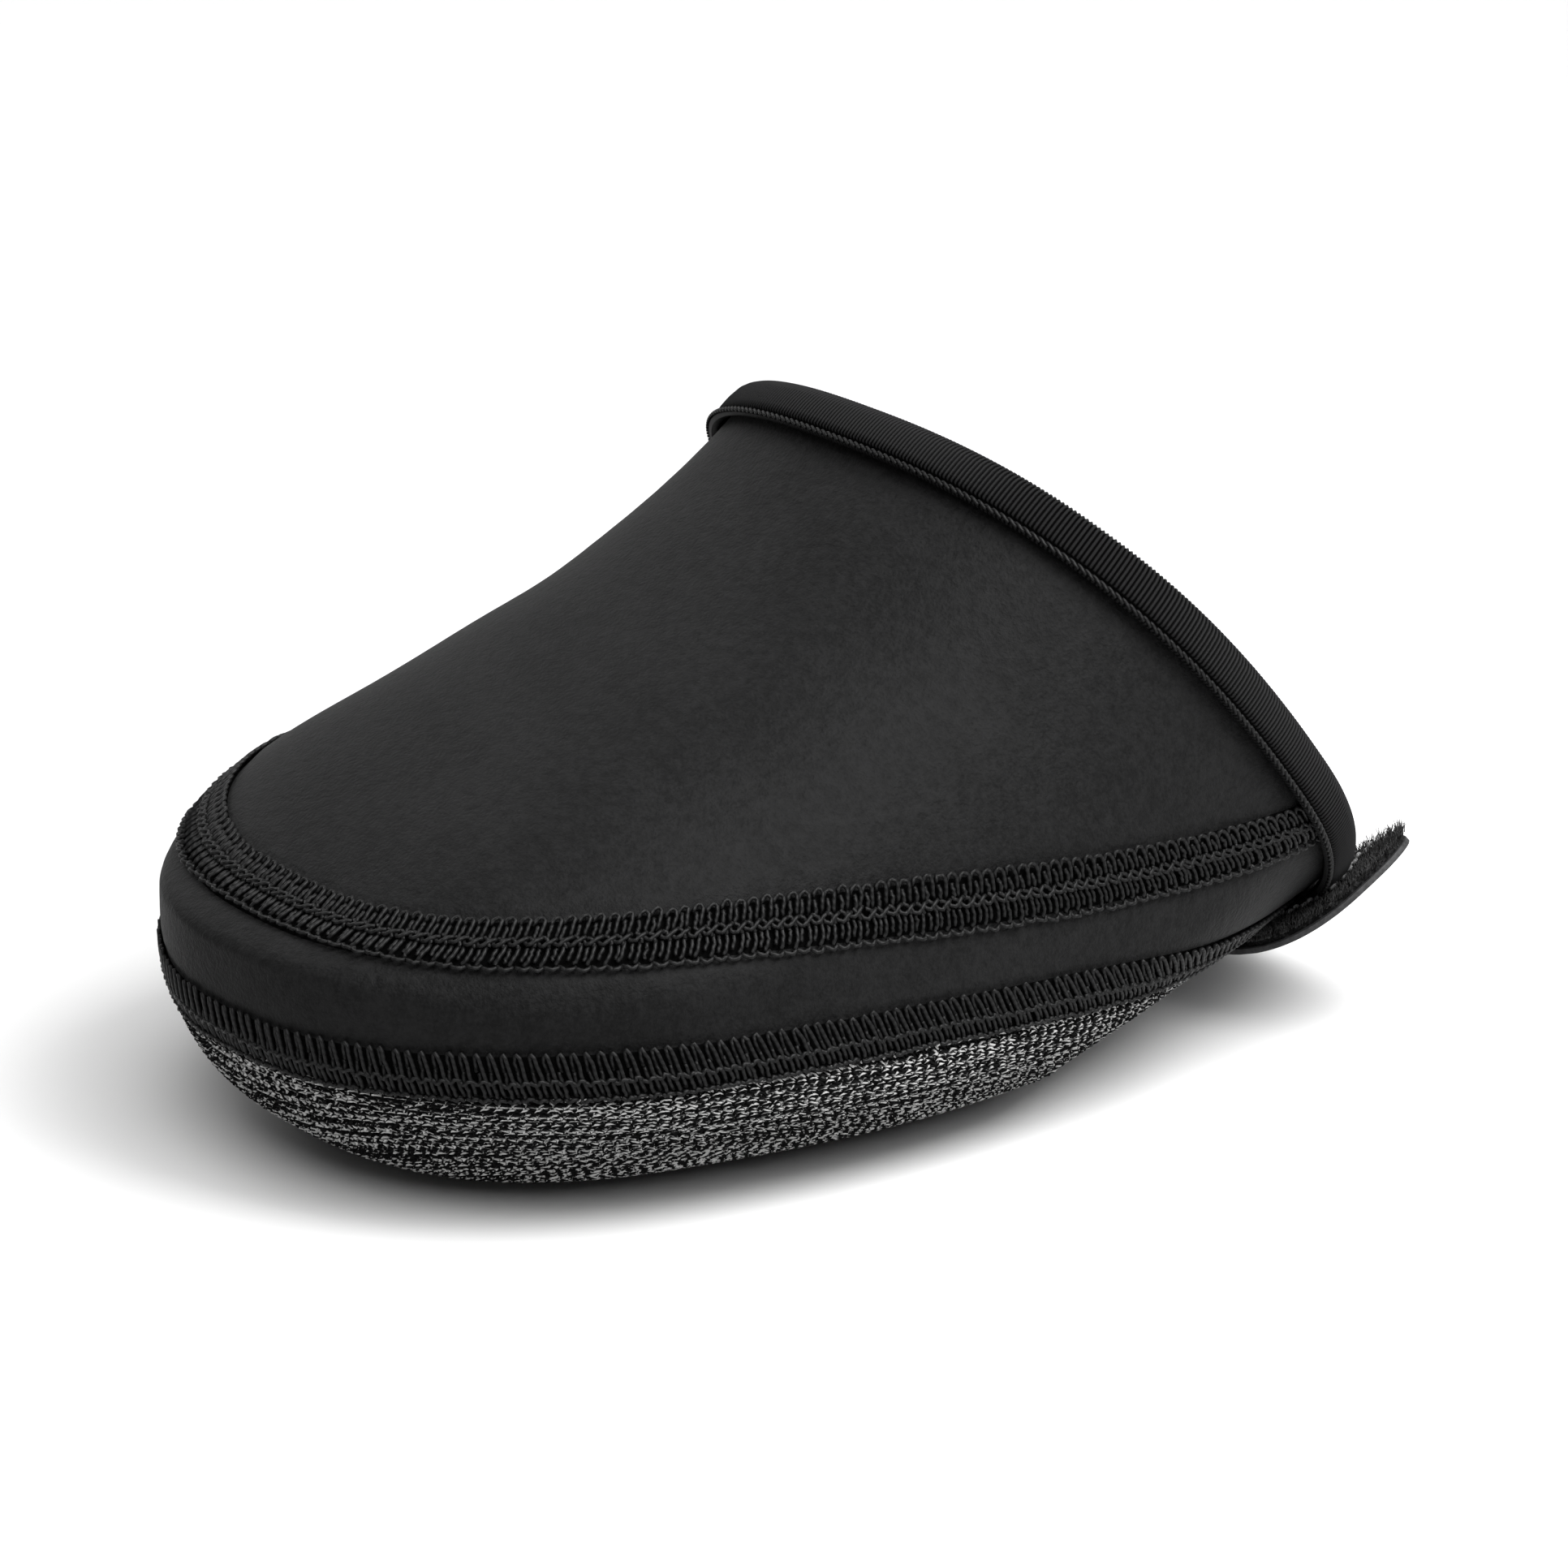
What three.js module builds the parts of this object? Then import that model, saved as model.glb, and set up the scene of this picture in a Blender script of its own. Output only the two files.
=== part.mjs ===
import * as THREE from "three";
import { mergeVertices } from "three/addons/utils/BufferGeometryUtils.js";

// Cycling toe cover for the left shoe, in millimetres: a soft hood for the front half of the shoe.
// The working frame has x to the wearer's left, a forward from the rear corner to the toe, z up.

// Overall sizes
const COVER_LENGTH = 165;
const BALL_WIDTH = 106;
const INSTEP_HEIGHT = 92;
const SOLE_PRESS = 1.2;

// Wall and joint sizes
const WALL = 2.2;
const SOLE_WALL = 2.0;
const FIT_GAP = 0.3;
const SEAM_RAISE = 0.6;
const SEAM_SHOULDER = 0.7;
const HIGH_SEAM_HALF = 4.0;
const LOW_SEAM_HALF = 3.4;

// Lengthwise sections, one row each: place as a share of the length, width as a share of the ball
// width, and heights as shares of the instep height. The rear row steers the curve of the instep
// beyond the collar and is cut away by it.
const SECTIONS = [
  { at: 0.0, width: 0.92, ridge: 1.89, widest: 0.697, highSeam: 0.405, lowSeam: 0.166 },
  { at: 1 / 3, width: 1.0, ridge: 1.0, widest: 0.258, highSeam: 0.395, lowSeam: 0.23 },
  { at: 2 / 3, width: 1.002, ridge: 0.655, widest: 0.248, highSeam: 0.437, lowSeam: 0.259 },
  { at: 1.0, width: 0.668, ridge: 0.404, widest: 0.375, highSeam: 0.413, lowSeam: 0.245 },
];

// Roundness of the section: sides, crown and underside, and of the toe in plan
const SIDE_ROUND = 2.47;
const CROWN_ROUND = 2.32;
const UNDER_ROUND = 2.55;
const TOE_ROUND = 2.7;
const TOE_START = 118;

// Rise of the underside behind the ball
const REAR_RISE = 10.5;
const RISE_LENGTH = 61.5;
const RISE_POWER = 0.75;

// Collar line: leans forward from the rear corner and bows further forward toward the instep
const COLLAR_FOOT = -5.8;
const COLLAR_LEAN = 0.71;
const COLLAR_BOW = 16.5;

// Binding folded over the collar edge
const BINDING_WIDTH = 7.5;
const BINDING_CLOTH = 1.0;
const BINDING_GAP = 0.6;
const SELVEDGE_WIDTH = 1.6;
const SELVEDGE_RAISE = 0.5;
const ROLL_STEPS = 6;

// Opening for the cleat between the two arms of the sole
const OPENING_HALF = 22;
const OPENING_REAR_HALF = 11;
const OPENING_FLARE = 60;
const OPENING_FRONT = 92;
const OPENING_ROUND = 20;

// Hook and loop strap across the arms
const STRAP_REAR = -8;
const STRAP_WIDTH = 24;
const STRAP_CLOTH = 1.8;
const STRAP_GAP = 0.4;
const STRAP_SEWN_SHARE = 0.9;
const STRAP_GRIP_SHARE = 0.8;
const TAB_REACH = 46.6;
const TAB_SKEW = 4;
const TAB_CORNER = 0.42;
const TAB_CURL = 10;
const CURL_START = 7.2;
const CURL_POWER = 1.3;
const TAB_SLOPE = 0.32;
const STEEPEST = 0.3;
const STRAP_ROWS = 10;
const STRAP_COLUMNS = 18;

// Patch inside the outer wall beside the tab
const PATCH_START = 15;
const PATCH_LENGTH = 24;
const PATCH_DROP = 1.0;
const PATCH_RISE = 5.0;
const PATCH_CLOTH = 0.9;
const PATCH_STEPS = 5;

// Mesh steps
const HALF_COLUMNS = 30;
const TOP_ROWS = 12;
const BAND_ROWS = 4;
const SOLE_ROWS = 10;
const DENSE = 240;
const SETTLING = 50;
const SPINE_FRONT = 138;

// Colours of the cloths
const SOFTSHELL = { color: 0x1c1c1e, roughness: 0.82, metalness: 0 };
const KNIT = { color: 0x6a6a6a, roughness: 0.9, metalness: 0 };
const RIBBED = { color: 0x232325, roughness: 0.75, metalness: 0 };
const STRAP_TAPE = { color: 0x1f1f20, roughness: 0.7, metalness: 0 };
const PATCH_CLOTH_LOOK = { color: 0x191919, roughness: 0.8, metalness: 0 };

const RIGHT_ANGLE = Math.PI / 2;

// Cubic through the four section rows
function along(column, a) {
  const u = a / COVER_LENGTH;
  let sum = 0;
  for (const row of SECTIONS) {
    let weight = 1;
    for (const other of SECTIONS) {
      if (other !== row) weight *= (u - other.at) / (row.at - other.at);
    }
    sum += weight * row[column];
  }
  return sum;
}

const halfWidth = (a) => along("width", a) * BALL_WIDTH / 2;
const ridgeHeight = (a) => along("ridge", a) * INSTEP_HEIGHT;
const widestHeight = (a) => along("widest", a) * INSTEP_HEIGHT;
const highSeam = (a) => along("highSeam", a) * INSTEP_HEIGHT;
const lowSeam = (a) => along("lowSeam", a) * INSTEP_HEIGHT;

function underHeight(a) {
  const rise = Math.max(0, 1 - a / RISE_LENGTH);
  return (REAR_RISE + SOLE_PRESS) * rise ** RISE_POWER - SOLE_PRESS;
}

function toeShare(a) {
  const t = (a - TOE_START) / (COVER_LENGTH - TOE_START);
  return Math.min(1, Math.max(0, t)) ** TOE_ROUND;
}

// Reach of the section above and below its widest line
function sectionReach(a, above) {
  const m = widestHeight(a);
  return above ? ridgeHeight(a) - m : m - underHeight(a);
}

// Share of the section used up at a point: 1 on the surface, less inside
function fullness(x, a, z) {
  const m = widestHeight(a);
  const above = z >= m;
  const round = above ? CROWN_ROUND : UNDER_ROUND;
  const across = (Math.abs(x) / halfWidth(a)) ** SIDE_ROUND;
  const upright = (Math.abs(z - m) / sectionReach(a, above)) ** round;
  return across + upright + toeShare(a);
}

// Half width of the form at a height
function widthAt(a, z) {
  const left = 1 - fullness(0, a, z);
  return left <= 0 ? 0 : halfWidth(a) * left ** (1 / SIDE_ROUND);
}

const GRADIENT_STEP = 0.02;

function gradient(p) {
  const h = GRADIENT_STEP;
  const slope = (dx, da, dz) =>
    (fullness(p.x + dx, p.y + da, p.z + dz) - fullness(p.x - dx, p.y - da, p.z - dz)) / (2 * h);
  return new THREE.Vector3(slope(h, 0, 0), slope(0, h, 0), slope(0, 0, h));
}

const outward = (p) => gradient(p).normalize();

// Height of a line that runs beside another one at a distance measured over the form
function beside(heightOf, distance) {
  return (a) => {
    const z = heightOf(a);
    let middle = z;
    for (let i = 0; i < 3; i += 1) {
      const n = outward(new THREE.Vector3(widthAt(a, middle), a, middle));
      middle = z + Math.hypot(n.x, n.y) * distance / 2;
    }
    return z + (middle - z) * 2;
  };
}

// Nearest point of the surface
function settle(p) {
  const q = p.clone();
  for (let i = 0; i < 4; i += 1) {
    const g = gradient(q);
    q.addScaledVector(g, (1 - fullness(q.x, q.y, q.z)) / g.lengthSq());
  }
  return q;
}

// Point of the section at an angle: -90 underneath, 0 at the widest line, 90 on the ridge
function sectionPoint(a, angle) {
  const above = angle >= 0;
  const round = above ? CROWN_ROUND : UNDER_ROUND;
  const left = Math.max(0, 1 - toeShare(a));
  const lean = Math.min(1, Math.abs(Math.sin(angle)));
  const reach = sectionReach(a, above) * (left ** (1 / round)) * lean ** (2 / round);
  const out = Math.max(0, Math.cos(angle));
  const x = halfWidth(a) * left ** (1 / SIDE_ROUND) * out ** (2 / SIDE_ROUND);
  return new THREE.Vector3(x, a, widestHeight(a) + (above ? reach : -reach));
}

// Section angle of a height, and of a half width underneath
function angleAtHeight(a, z) {
  const m = widestHeight(a);
  const above = z >= m;
  const round = above ? CROWN_ROUND : UNDER_ROUND;
  const left = Math.max(1e-9, 1 - toeShare(a)) ** (1 / round);
  const lean = Math.min(1, Math.abs(z - m) / (sectionReach(a, above) * left)) ** (round / 2);
  return (above ? 1 : -1) * Math.asin(lean);
}

function angleAtWidth(a, x) {
  const left = Math.max(1e-9, 1 - toeShare(a)) ** (1 / SIDE_ROUND);
  return -Math.acos(Math.min(1, x / (halfWidth(a) * left)) ** (SIDE_ROUND / 2));
}

// Forward lean of the collar line at a height over its foot
const LEAN_BASE = lowSeam(0);

function collarShift(z) {
  const height = z - LEAN_BASE;
  return COLLAR_LEAN * height + COLLAR_BOW * (height / INSTEP_HEIGHT) ** 2;
}

// Station at an advance from the collar line; the lean fades to nothing at the toe
function stationAt(advance, heightOf, foot) {
  const fade = 1 - advance / (COVER_LENGTH - foot);
  let a = foot + advance;
  for (let i = 0; i < SETTLING; i += 1) {
    a = (a + foot + advance + collarShift(heightOf(a)) * fade) / 2;
  }
  return a;
}

function advanceOf(a, z, foot) {
  const shift = collarShift(z);
  return (a - foot - shift) / (1 - shift / (COVER_LENGTH - foot));
}

function gridPoint(advance, angle, foot) {
  const a = stationAt(advance, (b) => sectionPoint(b, angle).z, foot);
  return sectionPoint(a, angle);
}

// Even spacing along a dense line of points
function evenly(line, count) {
  const lengths = [0];
  for (let i = 1; i < line.length; i += 1) {
    lengths.push(lengths[i - 1] + line[i].distanceTo(line[i - 1]));
  }
  const total = lengths[lengths.length - 1];
  const points = [];
  let k = 1;
  for (let i = 0; i <= count; i += 1) {
    const want = total * i / count;
    while (k < line.length - 1 && lengths[k] < want) k += 1;
    const span = lengths[k] - lengths[k - 1];
    const share = span > 0 ? (want - lengths[k - 1]) / span : 0;
    points.push(line[k - 1].clone().lerp(line[k], Math.min(1, Math.max(0, share))));
  }
  return points;
}

const mirrored = (half) => {
  const other = half.slice(0, -1).reverse();
  return half.concat(other.map((p) => new THREE.Vector3(-p.x, p.y, p.z)));
};

// Where a line of given height closes at the toe
function toeEnd(heightOf) {
  let low = TOE_START;
  let high = COVER_LENGTH;
  for (let i = 0; i < 60; i += 1) {
    const mid = (low + high) / 2;
    if (fullness(0, mid, heightOf(mid)) < 1) low = mid;
    else high = mid;
  }
  return low;
}

// One half of a level line from the collar to the toe
function levelLine(heightOf, foot) {
  const start = stationAt(0, heightOf, foot);
  const end = toeEnd(heightOf);
  const line = [];
  for (let i = 0; i <= DENSE; i += 1) {
    const a = start + (end - start) * (1 - (1 - i / DENSE) ** SIDE_ROUND);
    const z = heightOf(a);
    line.push(new THREE.Vector3(i === DENSE ? 0 : widthAt(a, z), a, z));
  }
  return evenly(line, HALF_COLUMNS);
}

// Line on the form between two of its points, even in section angle and advance
function formLine(from, to, foot, count) {
  const angleOf = (p, other) => {
    if (p.x > 1e-6) return angleAtHeight(p.y, p.z);
    return other.z > p.z || p.z > widestHeight(p.y) ? RIGHT_ANGLE : -RIGHT_ANGLE;
  };
  const fromAngle = angleOf(from, to);
  const toAngle = angleOf(to, from);
  const fromAdvance = advanceOf(from.y, from.z, foot);
  const toAdvance = advanceOf(to.y, to.z, foot);
  const line = [from.clone()];
  for (let i = 1; i < DENSE; i += 1) {
    const t = i / DENSE;
    const advance = fromAdvance + (toAdvance - fromAdvance) * t;
    line.push(gridPoint(advance, fromAngle + (toAngle - fromAngle) * t, foot));
  }
  line.push(to.clone());
  return evenly(line, count);
}

// Closed shell between an outer and an inner grid; a folded top row is left to weld to itself
function shell(outer, inner, foldedTop) {
  const positions = [];
  const tri = (a, b, c) => positions.push(...a.toArray(), ...b.toArray(), ...c.toArray());
  const quad = (a, b, c, d) => {
    if (a.distanceToSquared(c) <= b.distanceToSquared(d)) {
      tri(a, b, c);
      tri(a, c, d);
    } else {
      tri(a, b, d);
      tri(b, c, d);
    }
  };
  const rows = outer.length - 1;
  const columns = outer[0].length - 1;
  for (let r = 0; r < rows; r += 1) {
    for (let c = 0; c < columns; c += 1) {
      quad(outer[r][c], outer[r][c + 1], outer[r + 1][c + 1], outer[r + 1][c]);
      quad(inner[r][c], inner[r + 1][c], inner[r + 1][c + 1], inner[r][c + 1]);
    }
  }
  for (let c = 0; c < columns; c += 1) {
    quad(outer[0][c], inner[0][c], inner[0][c + 1], outer[0][c + 1]);
    if (!foldedTop) quad(outer[rows][c], outer[rows][c + 1], inner[rows][c + 1], inner[rows][c]);
  }
  for (let r = 0; r < rows; r += 1) {
    quad(outer[r][0], outer[r + 1][0], inner[r + 1][0], inner[r][0]);
    quad(outer[r][columns], inner[r][columns], inner[r + 1][columns], outer[r + 1][columns]);
  }
  return positions;
}

// Piece of the cover from its triangles, turned so that the toe points to -Y
function piece(name, positions, look, flip) {
  const turned = [];
  for (let i = 0; i < positions.length; i += 9) {
    const corners = flip ? [0, 6, 3] : [0, 3, 6];
    for (const k of corners) {
      turned.push(positions[i + k], -positions[i + k + 1], positions[i + k + 2]);
    }
  }
  const loose = new THREE.BufferGeometry();
  loose.setAttribute("position", new THREE.Float32BufferAttribute(turned, 3));
  const geometry = cleaned(mergeVertices(loose, 1e-3));
  geometry.computeVertexNormals();
  const mesh = new THREE.Mesh(geometry, new THREE.MeshStandardMaterial(look));
  mesh.name = name;
  return mesh;
}

// Drops triangles that closed up when the points were welded
function cleaned(geometry) {
  const index = geometry.getIndex().array;
  const kept = [];
  for (let i = 0; i < index.length; i += 3) {
    const [a, b, c] = [index[i], index[i + 1], index[i + 2]];
    if (a !== b && b !== c && c !== a) kept.push(a, b, c);
  }
  geometry.setIndex(kept);
  return geometry;
}

const upperHem = beside(lowSeam, -LOW_SEAM_HALF);
const soleEdge = beside(lowSeam, -LOW_SEAM_HALF - FIT_GAP);

// Upper: side band and top panel in one wall, with both seams as steps of the wall
const ROLL_OUT = WALL / 2 + BINDING_GAP + BINDING_CLOTH;
const UPPER_FOOT = COLLAR_FOOT + ROLL_OUT * Math.hypot(1, COLLAR_LEAN);

function upperRows() {
  const rows = [];
  const level = (heightOf, raise) => {
    rows.push(mirrored(levelLine(heightOf, UPPER_FOOT)).map((p) => ({ p, raise })));
  };
  const low = (offset) => beside(lowSeam, offset);
  const high = (offset) => beside(highSeam, offset);
  level(upperHem, SEAM_RAISE);
  level(low(0), SEAM_RAISE);
  level(low(LOW_SEAM_HALF), SEAM_RAISE);
  level(low(LOW_SEAM_HALF + SEAM_SHOULDER), 0);
  const bandStart = low(LOW_SEAM_HALF + SEAM_SHOULDER);
  const bandEnd = high(-HIGH_SEAM_HALF - SEAM_SHOULDER);
  for (let i = 1; i < BAND_ROWS; i += 1) {
    level((a) => bandStart(a) + (bandEnd(a) - bandStart(a)) * i / BAND_ROWS, 0);
  }
  level(bandEnd, 0);
  level(high(-HIGH_SEAM_HALF), SEAM_RAISE);
  level(high(0), SEAM_RAISE);
  const topStart = levelLine(high(HIGH_SEAM_HALF), UPPER_FOOT);
  rows.push(mirrored(topStart).map((p) => ({ p, raise: SEAM_RAISE })));
  const spine = spineLine();
  const lines = topStart.map((p, c) => formLine(p, spine[c], UPPER_FOOT, TOP_ROWS));
  for (let r = 1; r <= TOP_ROWS; r += 1) {
    rows.push(mirrored(lines.map((line) => line[r])).map((p) => ({ p, raise: 0 })));
  }
  return rows;
}

// Ridge from the collar to where it is met over the toe
function spineLine() {
  const start = stationAt(0, (a) => sectionPoint(a, RIGHT_ANGLE).z, UPPER_FOOT);
  const line = [];
  for (let i = 0; i <= DENSE; i += 1) {
    line.push(sectionPoint(start + (SPINE_FRONT - start) * i / DENSE, RIGHT_ANGLE));
  }
  return evenly(line, HALF_COLUMNS).map((p) => new THREE.Vector3(0, p.y, p.z));
}

function buildUpper(rows) {
  const grid = (depth) => rows.map((row) => row.map(({ p, raise }) => {
    const n = outward(p);
    if (p.x === 0) n.setX(0).normalize();
    return p.clone().addScaledVector(n, depth > 0 ? -depth : raise);
  }));
  return piece("upper", shell(grid(0), grid(WALL), true), SOFTSHELL, true);
}

// Sole: a knit band from the low seam round to the hem of the cleat opening
function openingHalf(a) {
  const u = Math.min(1, Math.max(0, a / OPENING_FLARE));
  return OPENING_REAR_HALF + (OPENING_HALF - OPENING_REAR_HALF) * u * u * (3 - 2 * u);
}

function openingHem() {
  const line = [];
  const half = openingHalf;
  const turn = OPENING_FRONT - OPENING_ROUND;
  const start = stationAt(0, (a) => underPoint(half(a), a).z, UPPER_FOOT);
  for (let i = 0; i <= DENSE; i += 1) {
    const a = start + (turn - start) * i / DENSE;
    line.push(underPoint(half(a), a));
  }
  for (let i = 1; i <= DENSE; i += 1) {
    const angle = RIGHT_ANGLE * i / DENSE;
    line.push(underPoint(half(turn) * Math.cos(angle), turn + OPENING_ROUND * Math.sin(angle)));
  }
  return evenly(line, HALF_COLUMNS);
}

function underPoint(x, a) {
  return sectionPoint(a, angleAtWidth(a, Math.abs(x))).setX(x);
}

function soleRows() {
  const edge = levelLine(soleEdge, UPPER_FOOT);
  const hem = openingHem();
  const lines = edge.map((p, c) => soleLine(p, hem[c]));
  const rows = [];
  for (let r = 0; r <= SOLE_ROWS; r += 1) rows.push(mirrored(lines.map((line) => line[r])));
  return rows;
}

function soleLine(from, to) {
  const centre = from.x < 1e-6;
  const fromAngle = centre ? -RIGHT_ANGLE : angleAtHeight(from.y, from.z);
  const toAngle = centre ? -RIGHT_ANGLE : angleAtWidth(to.y, to.x);
  const fromAdvance = advanceOf(from.y, from.z, UPPER_FOOT);
  const toAdvance = advanceOf(to.y, to.z, UPPER_FOOT);
  const line = [from.clone()];
  for (let i = 1; i < DENSE; i += 1) {
    const t = i / DENSE;
    const advance = fromAdvance + (toAdvance - fromAdvance) * t;
    line.push(gridPoint(advance, fromAngle + (toAngle - fromAngle) * t, UPPER_FOOT));
  }
  line.push(to.clone());
  return evenly(line, SOLE_ROWS);
}

function buildSole() {
  const rows = soleRows();
  const grid = (depth) => rows.map((row) => row.map((p) => {
    const n = outward(p);
    if (Math.abs(p.x) < 1e-6) n.setX(0).normalize();
    const q = p.clone().addScaledVector(n, -depth);
    return q.setZ(Math.max(q.z, depth));
  }));
  return piece("knit_sole", shell(grid(0), grid(SOLE_WALL), false), KNIT, false);
}

// Binding: a folded strip round the collar edge with a raised selvedge on its outer leg. It shares
// its stations with the rows of the upper from the side band up.
const BINDING_FIRST_ROW = 4;

function bindingStations(rows) {
  const left = rows.slice(BINDING_FIRST_ROW).map((row) => row[0]);
  const right = rows.slice(BINDING_FIRST_ROW, -1).map((row) => row[row.length - 1]);
  return left.concat(right.reverse());
}

function buildBinding(rows) {
  const stations = bindingStations(rows);
  const middle = (stations.length - 1) / 2;
  const legLength = BINDING_WIDTH - ROLL_OUT;
  const outerLeg = [
    { place: legLength, raise: 0 },
    { place: legLength - SELVEDGE_WIDTH / 2, raise: SELVEDGE_RAISE },
    { place: legLength - SELVEDGE_WIDTH, raise: 0 },
    { place: legLength / 3, raise: 0 },
    { place: 0, raise: 0 },
  ];
  const outer = [];
  const inner = [];
  stations.forEach(({ p, raise }, i) => {
    const n = outward(p);
    const before = stations[Math.max(i - 1, 0)].p;
    const after = stations[Math.min(i + 1, stations.length - 1)].p;
    const tangent = after.clone().sub(before);
    if (i === middle) n.setX(0).normalize();
    const forward = tangent.cross(n).normalize();
    if (forward.y < 0) forward.negate();
    const out = [];
    const within = [];
    const lay = (place, depth) => {
      const q = place > 0 ? settle(p.clone().addScaledVector(forward, place)) : p;
      return q.clone().addScaledVector(place > 0 ? outward(q) : n, depth);
    };
    for (const leg of outerLeg) {
      out.push(lay(leg.place, raise + BINDING_GAP + BINDING_CLOTH + leg.raise));
      within.push(lay(leg.place, raise + BINDING_GAP));
    }
    const centre = p.clone().addScaledVector(n, (raise - WALL) / 2);
    const near = (WALL + raise) / 2 + BINDING_GAP;
    for (let k = 1; k < ROLL_STEPS; k += 1) {
      const turn = Math.PI * k / ROLL_STEPS;
      const ray = n.clone().multiplyScalar(Math.cos(turn)).addScaledVector(forward, -Math.sin(turn));
      out.push(centre.clone().addScaledVector(ray, near + BINDING_CLOTH));
      within.push(centre.clone().addScaledVector(ray, near));
    }
    for (const place of [0, legLength / 2, legLength]) {
      out.push(lay(place, -WALL - BINDING_GAP - BINDING_CLOTH));
      within.push(lay(place, -WALL - BINDING_GAP));
    }
    outer.push(out);
    inner.push(within);
  });
  return piece("collar_binding", shell(outer, inner, false), RIBBED, false);
}

// Strap: sewn to the inner arm, drawn under both arms, its rounded tab standing out past the
// outer rear corner
function strapTop(x, a) {
  const edge = widthAt(a, upperHem(a));
  const grip = STRAP_GRIP_SHARE * edge;
  const held = Math.min(x, grip);
  const p = underPoint(held, a);
  const n = outward(p);
  const hem = openingHalf(a);
  const near = Math.max(0, (Math.abs(x) - hem) / (edge - hem));
  const clear = (STRAP_GAP + SEAM_RAISE * Math.min(1, near)) / Math.max(STEEPEST, Math.abs(n.z));
  const out = Math.max(0, x - grip);
  const rearness = 1 - (a - STRAP_REAR) / STRAP_WIDTH;
  const bent = Math.max(0, out - CURL_START) / (TAB_REACH - grip - CURL_START);
  const curl = TAB_CURL * rearness * bent ** CURL_POWER;
  return p.z - clear + out * TAB_SLOPE + curl;
}

function strapGrid(drop) {
  const rows = [];
  for (let r = 0; r <= STRAP_ROWS; r += 1) {
    const share = r / STRAP_ROWS;
    const a = STRAP_REAR + STRAP_WIDTH * share;
    const sewn = -STRAP_SEWN_SHARE * widthAt(a, upperHem(a));
    const side = Math.abs(2 * share - 1);
    const corner = Math.max(0, side - (1 - 2 * TAB_CORNER)) / (2 * TAB_CORNER);
    const rounding = STRAP_WIDTH * TAB_CORNER * (1 - Math.sqrt(Math.max(0, 1 - corner ** 2)));
    const reach = TAB_REACH - TAB_SKEW * share ** 2 - rounding;
    const row = [];
    for (let c = 0; c <= STRAP_COLUMNS; c += 1) {
      const x = sewn + (reach - sewn) * c / STRAP_COLUMNS;
      row.push(new THREE.Vector3(x, a, strapTop(x, a) - drop));
    }
    rows.push(row);
  }
  return rows;
}

function buildStrap() {
  return piece("strap", shell(strapGrid(0), strapGrid(STRAP_CLOTH), false), STRAP_TAPE, true);
}

// Patch on the inside of the outer wall, just ahead of the collar
function patchGrid(depth) {
  const rows = [];
  for (let r = 0; r <= PATCH_STEPS; r += 1) {
    const row = [];
    for (let c = 0; c <= PATCH_STEPS; c += 1) {
      const advance = PATCH_START + PATCH_LENGTH * c / PATCH_STEPS;
      const low = (a) => lowSeam(a) + PATCH_DROP;
      const high = (a) => highSeam(a) + PATCH_RISE;
      const heightOf = (a) => low(a) + (high(a) - low(a)) * r / PATCH_STEPS;
      const a = stationAt(advance, heightOf, UPPER_FOOT);
      const p = new THREE.Vector3(widthAt(a, heightOf(a)), a, heightOf(a));
      row.push(p.clone().addScaledVector(outward(p), -WALL - FIT_GAP - depth));
    }
    rows.push(row);
  }
  return rows;
}

function buildPatch() {
  return piece("closure_patch", shell(patchGrid(0), patchGrid(PATCH_CLOTH), false), PATCH_CLOTH_LOOK, true);
}

// Assembly, its bounding box centred on the origin and its floor at zero
const cover = new THREE.Group();
cover.name = "toe_cover";
const rows = upperRows();
cover.add(buildUpper(rows));
cover.add(buildSole());
cover.add(buildBinding(rows));
cover.add(buildStrap());
cover.add(buildPatch());

const box = new THREE.Box3().setFromObject(cover);
const centre = box.getCenter(new THREE.Vector3());
for (const mesh of cover.children) mesh.geometry.translate(-centre.x, -centre.y, -box.min.z);

export default cover;
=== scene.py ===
"""Cycling toe cover for the left shoe: cloth, flatlock seams, knit sole, ribbed binding and strap."""

import math

import bpy
import numpy as np
from bpy.props import FloatProperty, FloatVectorProperty, PointerProperty
from mathutils import Matrix, Vector


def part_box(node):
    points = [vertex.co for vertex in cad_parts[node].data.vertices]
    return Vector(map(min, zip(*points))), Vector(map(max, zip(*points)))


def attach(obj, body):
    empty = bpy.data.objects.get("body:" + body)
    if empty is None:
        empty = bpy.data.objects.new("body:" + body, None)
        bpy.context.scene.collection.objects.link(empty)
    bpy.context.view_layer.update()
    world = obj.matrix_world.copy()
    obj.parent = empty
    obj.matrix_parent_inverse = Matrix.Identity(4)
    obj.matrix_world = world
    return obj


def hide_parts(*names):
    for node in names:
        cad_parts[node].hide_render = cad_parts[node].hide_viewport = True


bl_info = {
    "name": "Cycling toe cover",
    "version": (1, 0, 0),
    "blender": (4, 5, 0),
    "location": "3D View > Sidebar > Toe cover",
    "description": "Dresses the frame of a cycling toe cover in its cloths, seams, knit and strap",
    "category": "Add Mesh",
}

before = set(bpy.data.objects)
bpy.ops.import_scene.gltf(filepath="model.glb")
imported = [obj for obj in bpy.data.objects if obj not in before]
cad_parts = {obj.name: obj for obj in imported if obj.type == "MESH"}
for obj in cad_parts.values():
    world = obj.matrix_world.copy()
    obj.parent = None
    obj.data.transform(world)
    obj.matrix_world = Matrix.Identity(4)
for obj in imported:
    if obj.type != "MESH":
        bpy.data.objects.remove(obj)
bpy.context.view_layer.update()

# Lengths in the form's own frame are in millimetres: x to the wearer's left, a forward, z up.
MM = 0.001

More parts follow.
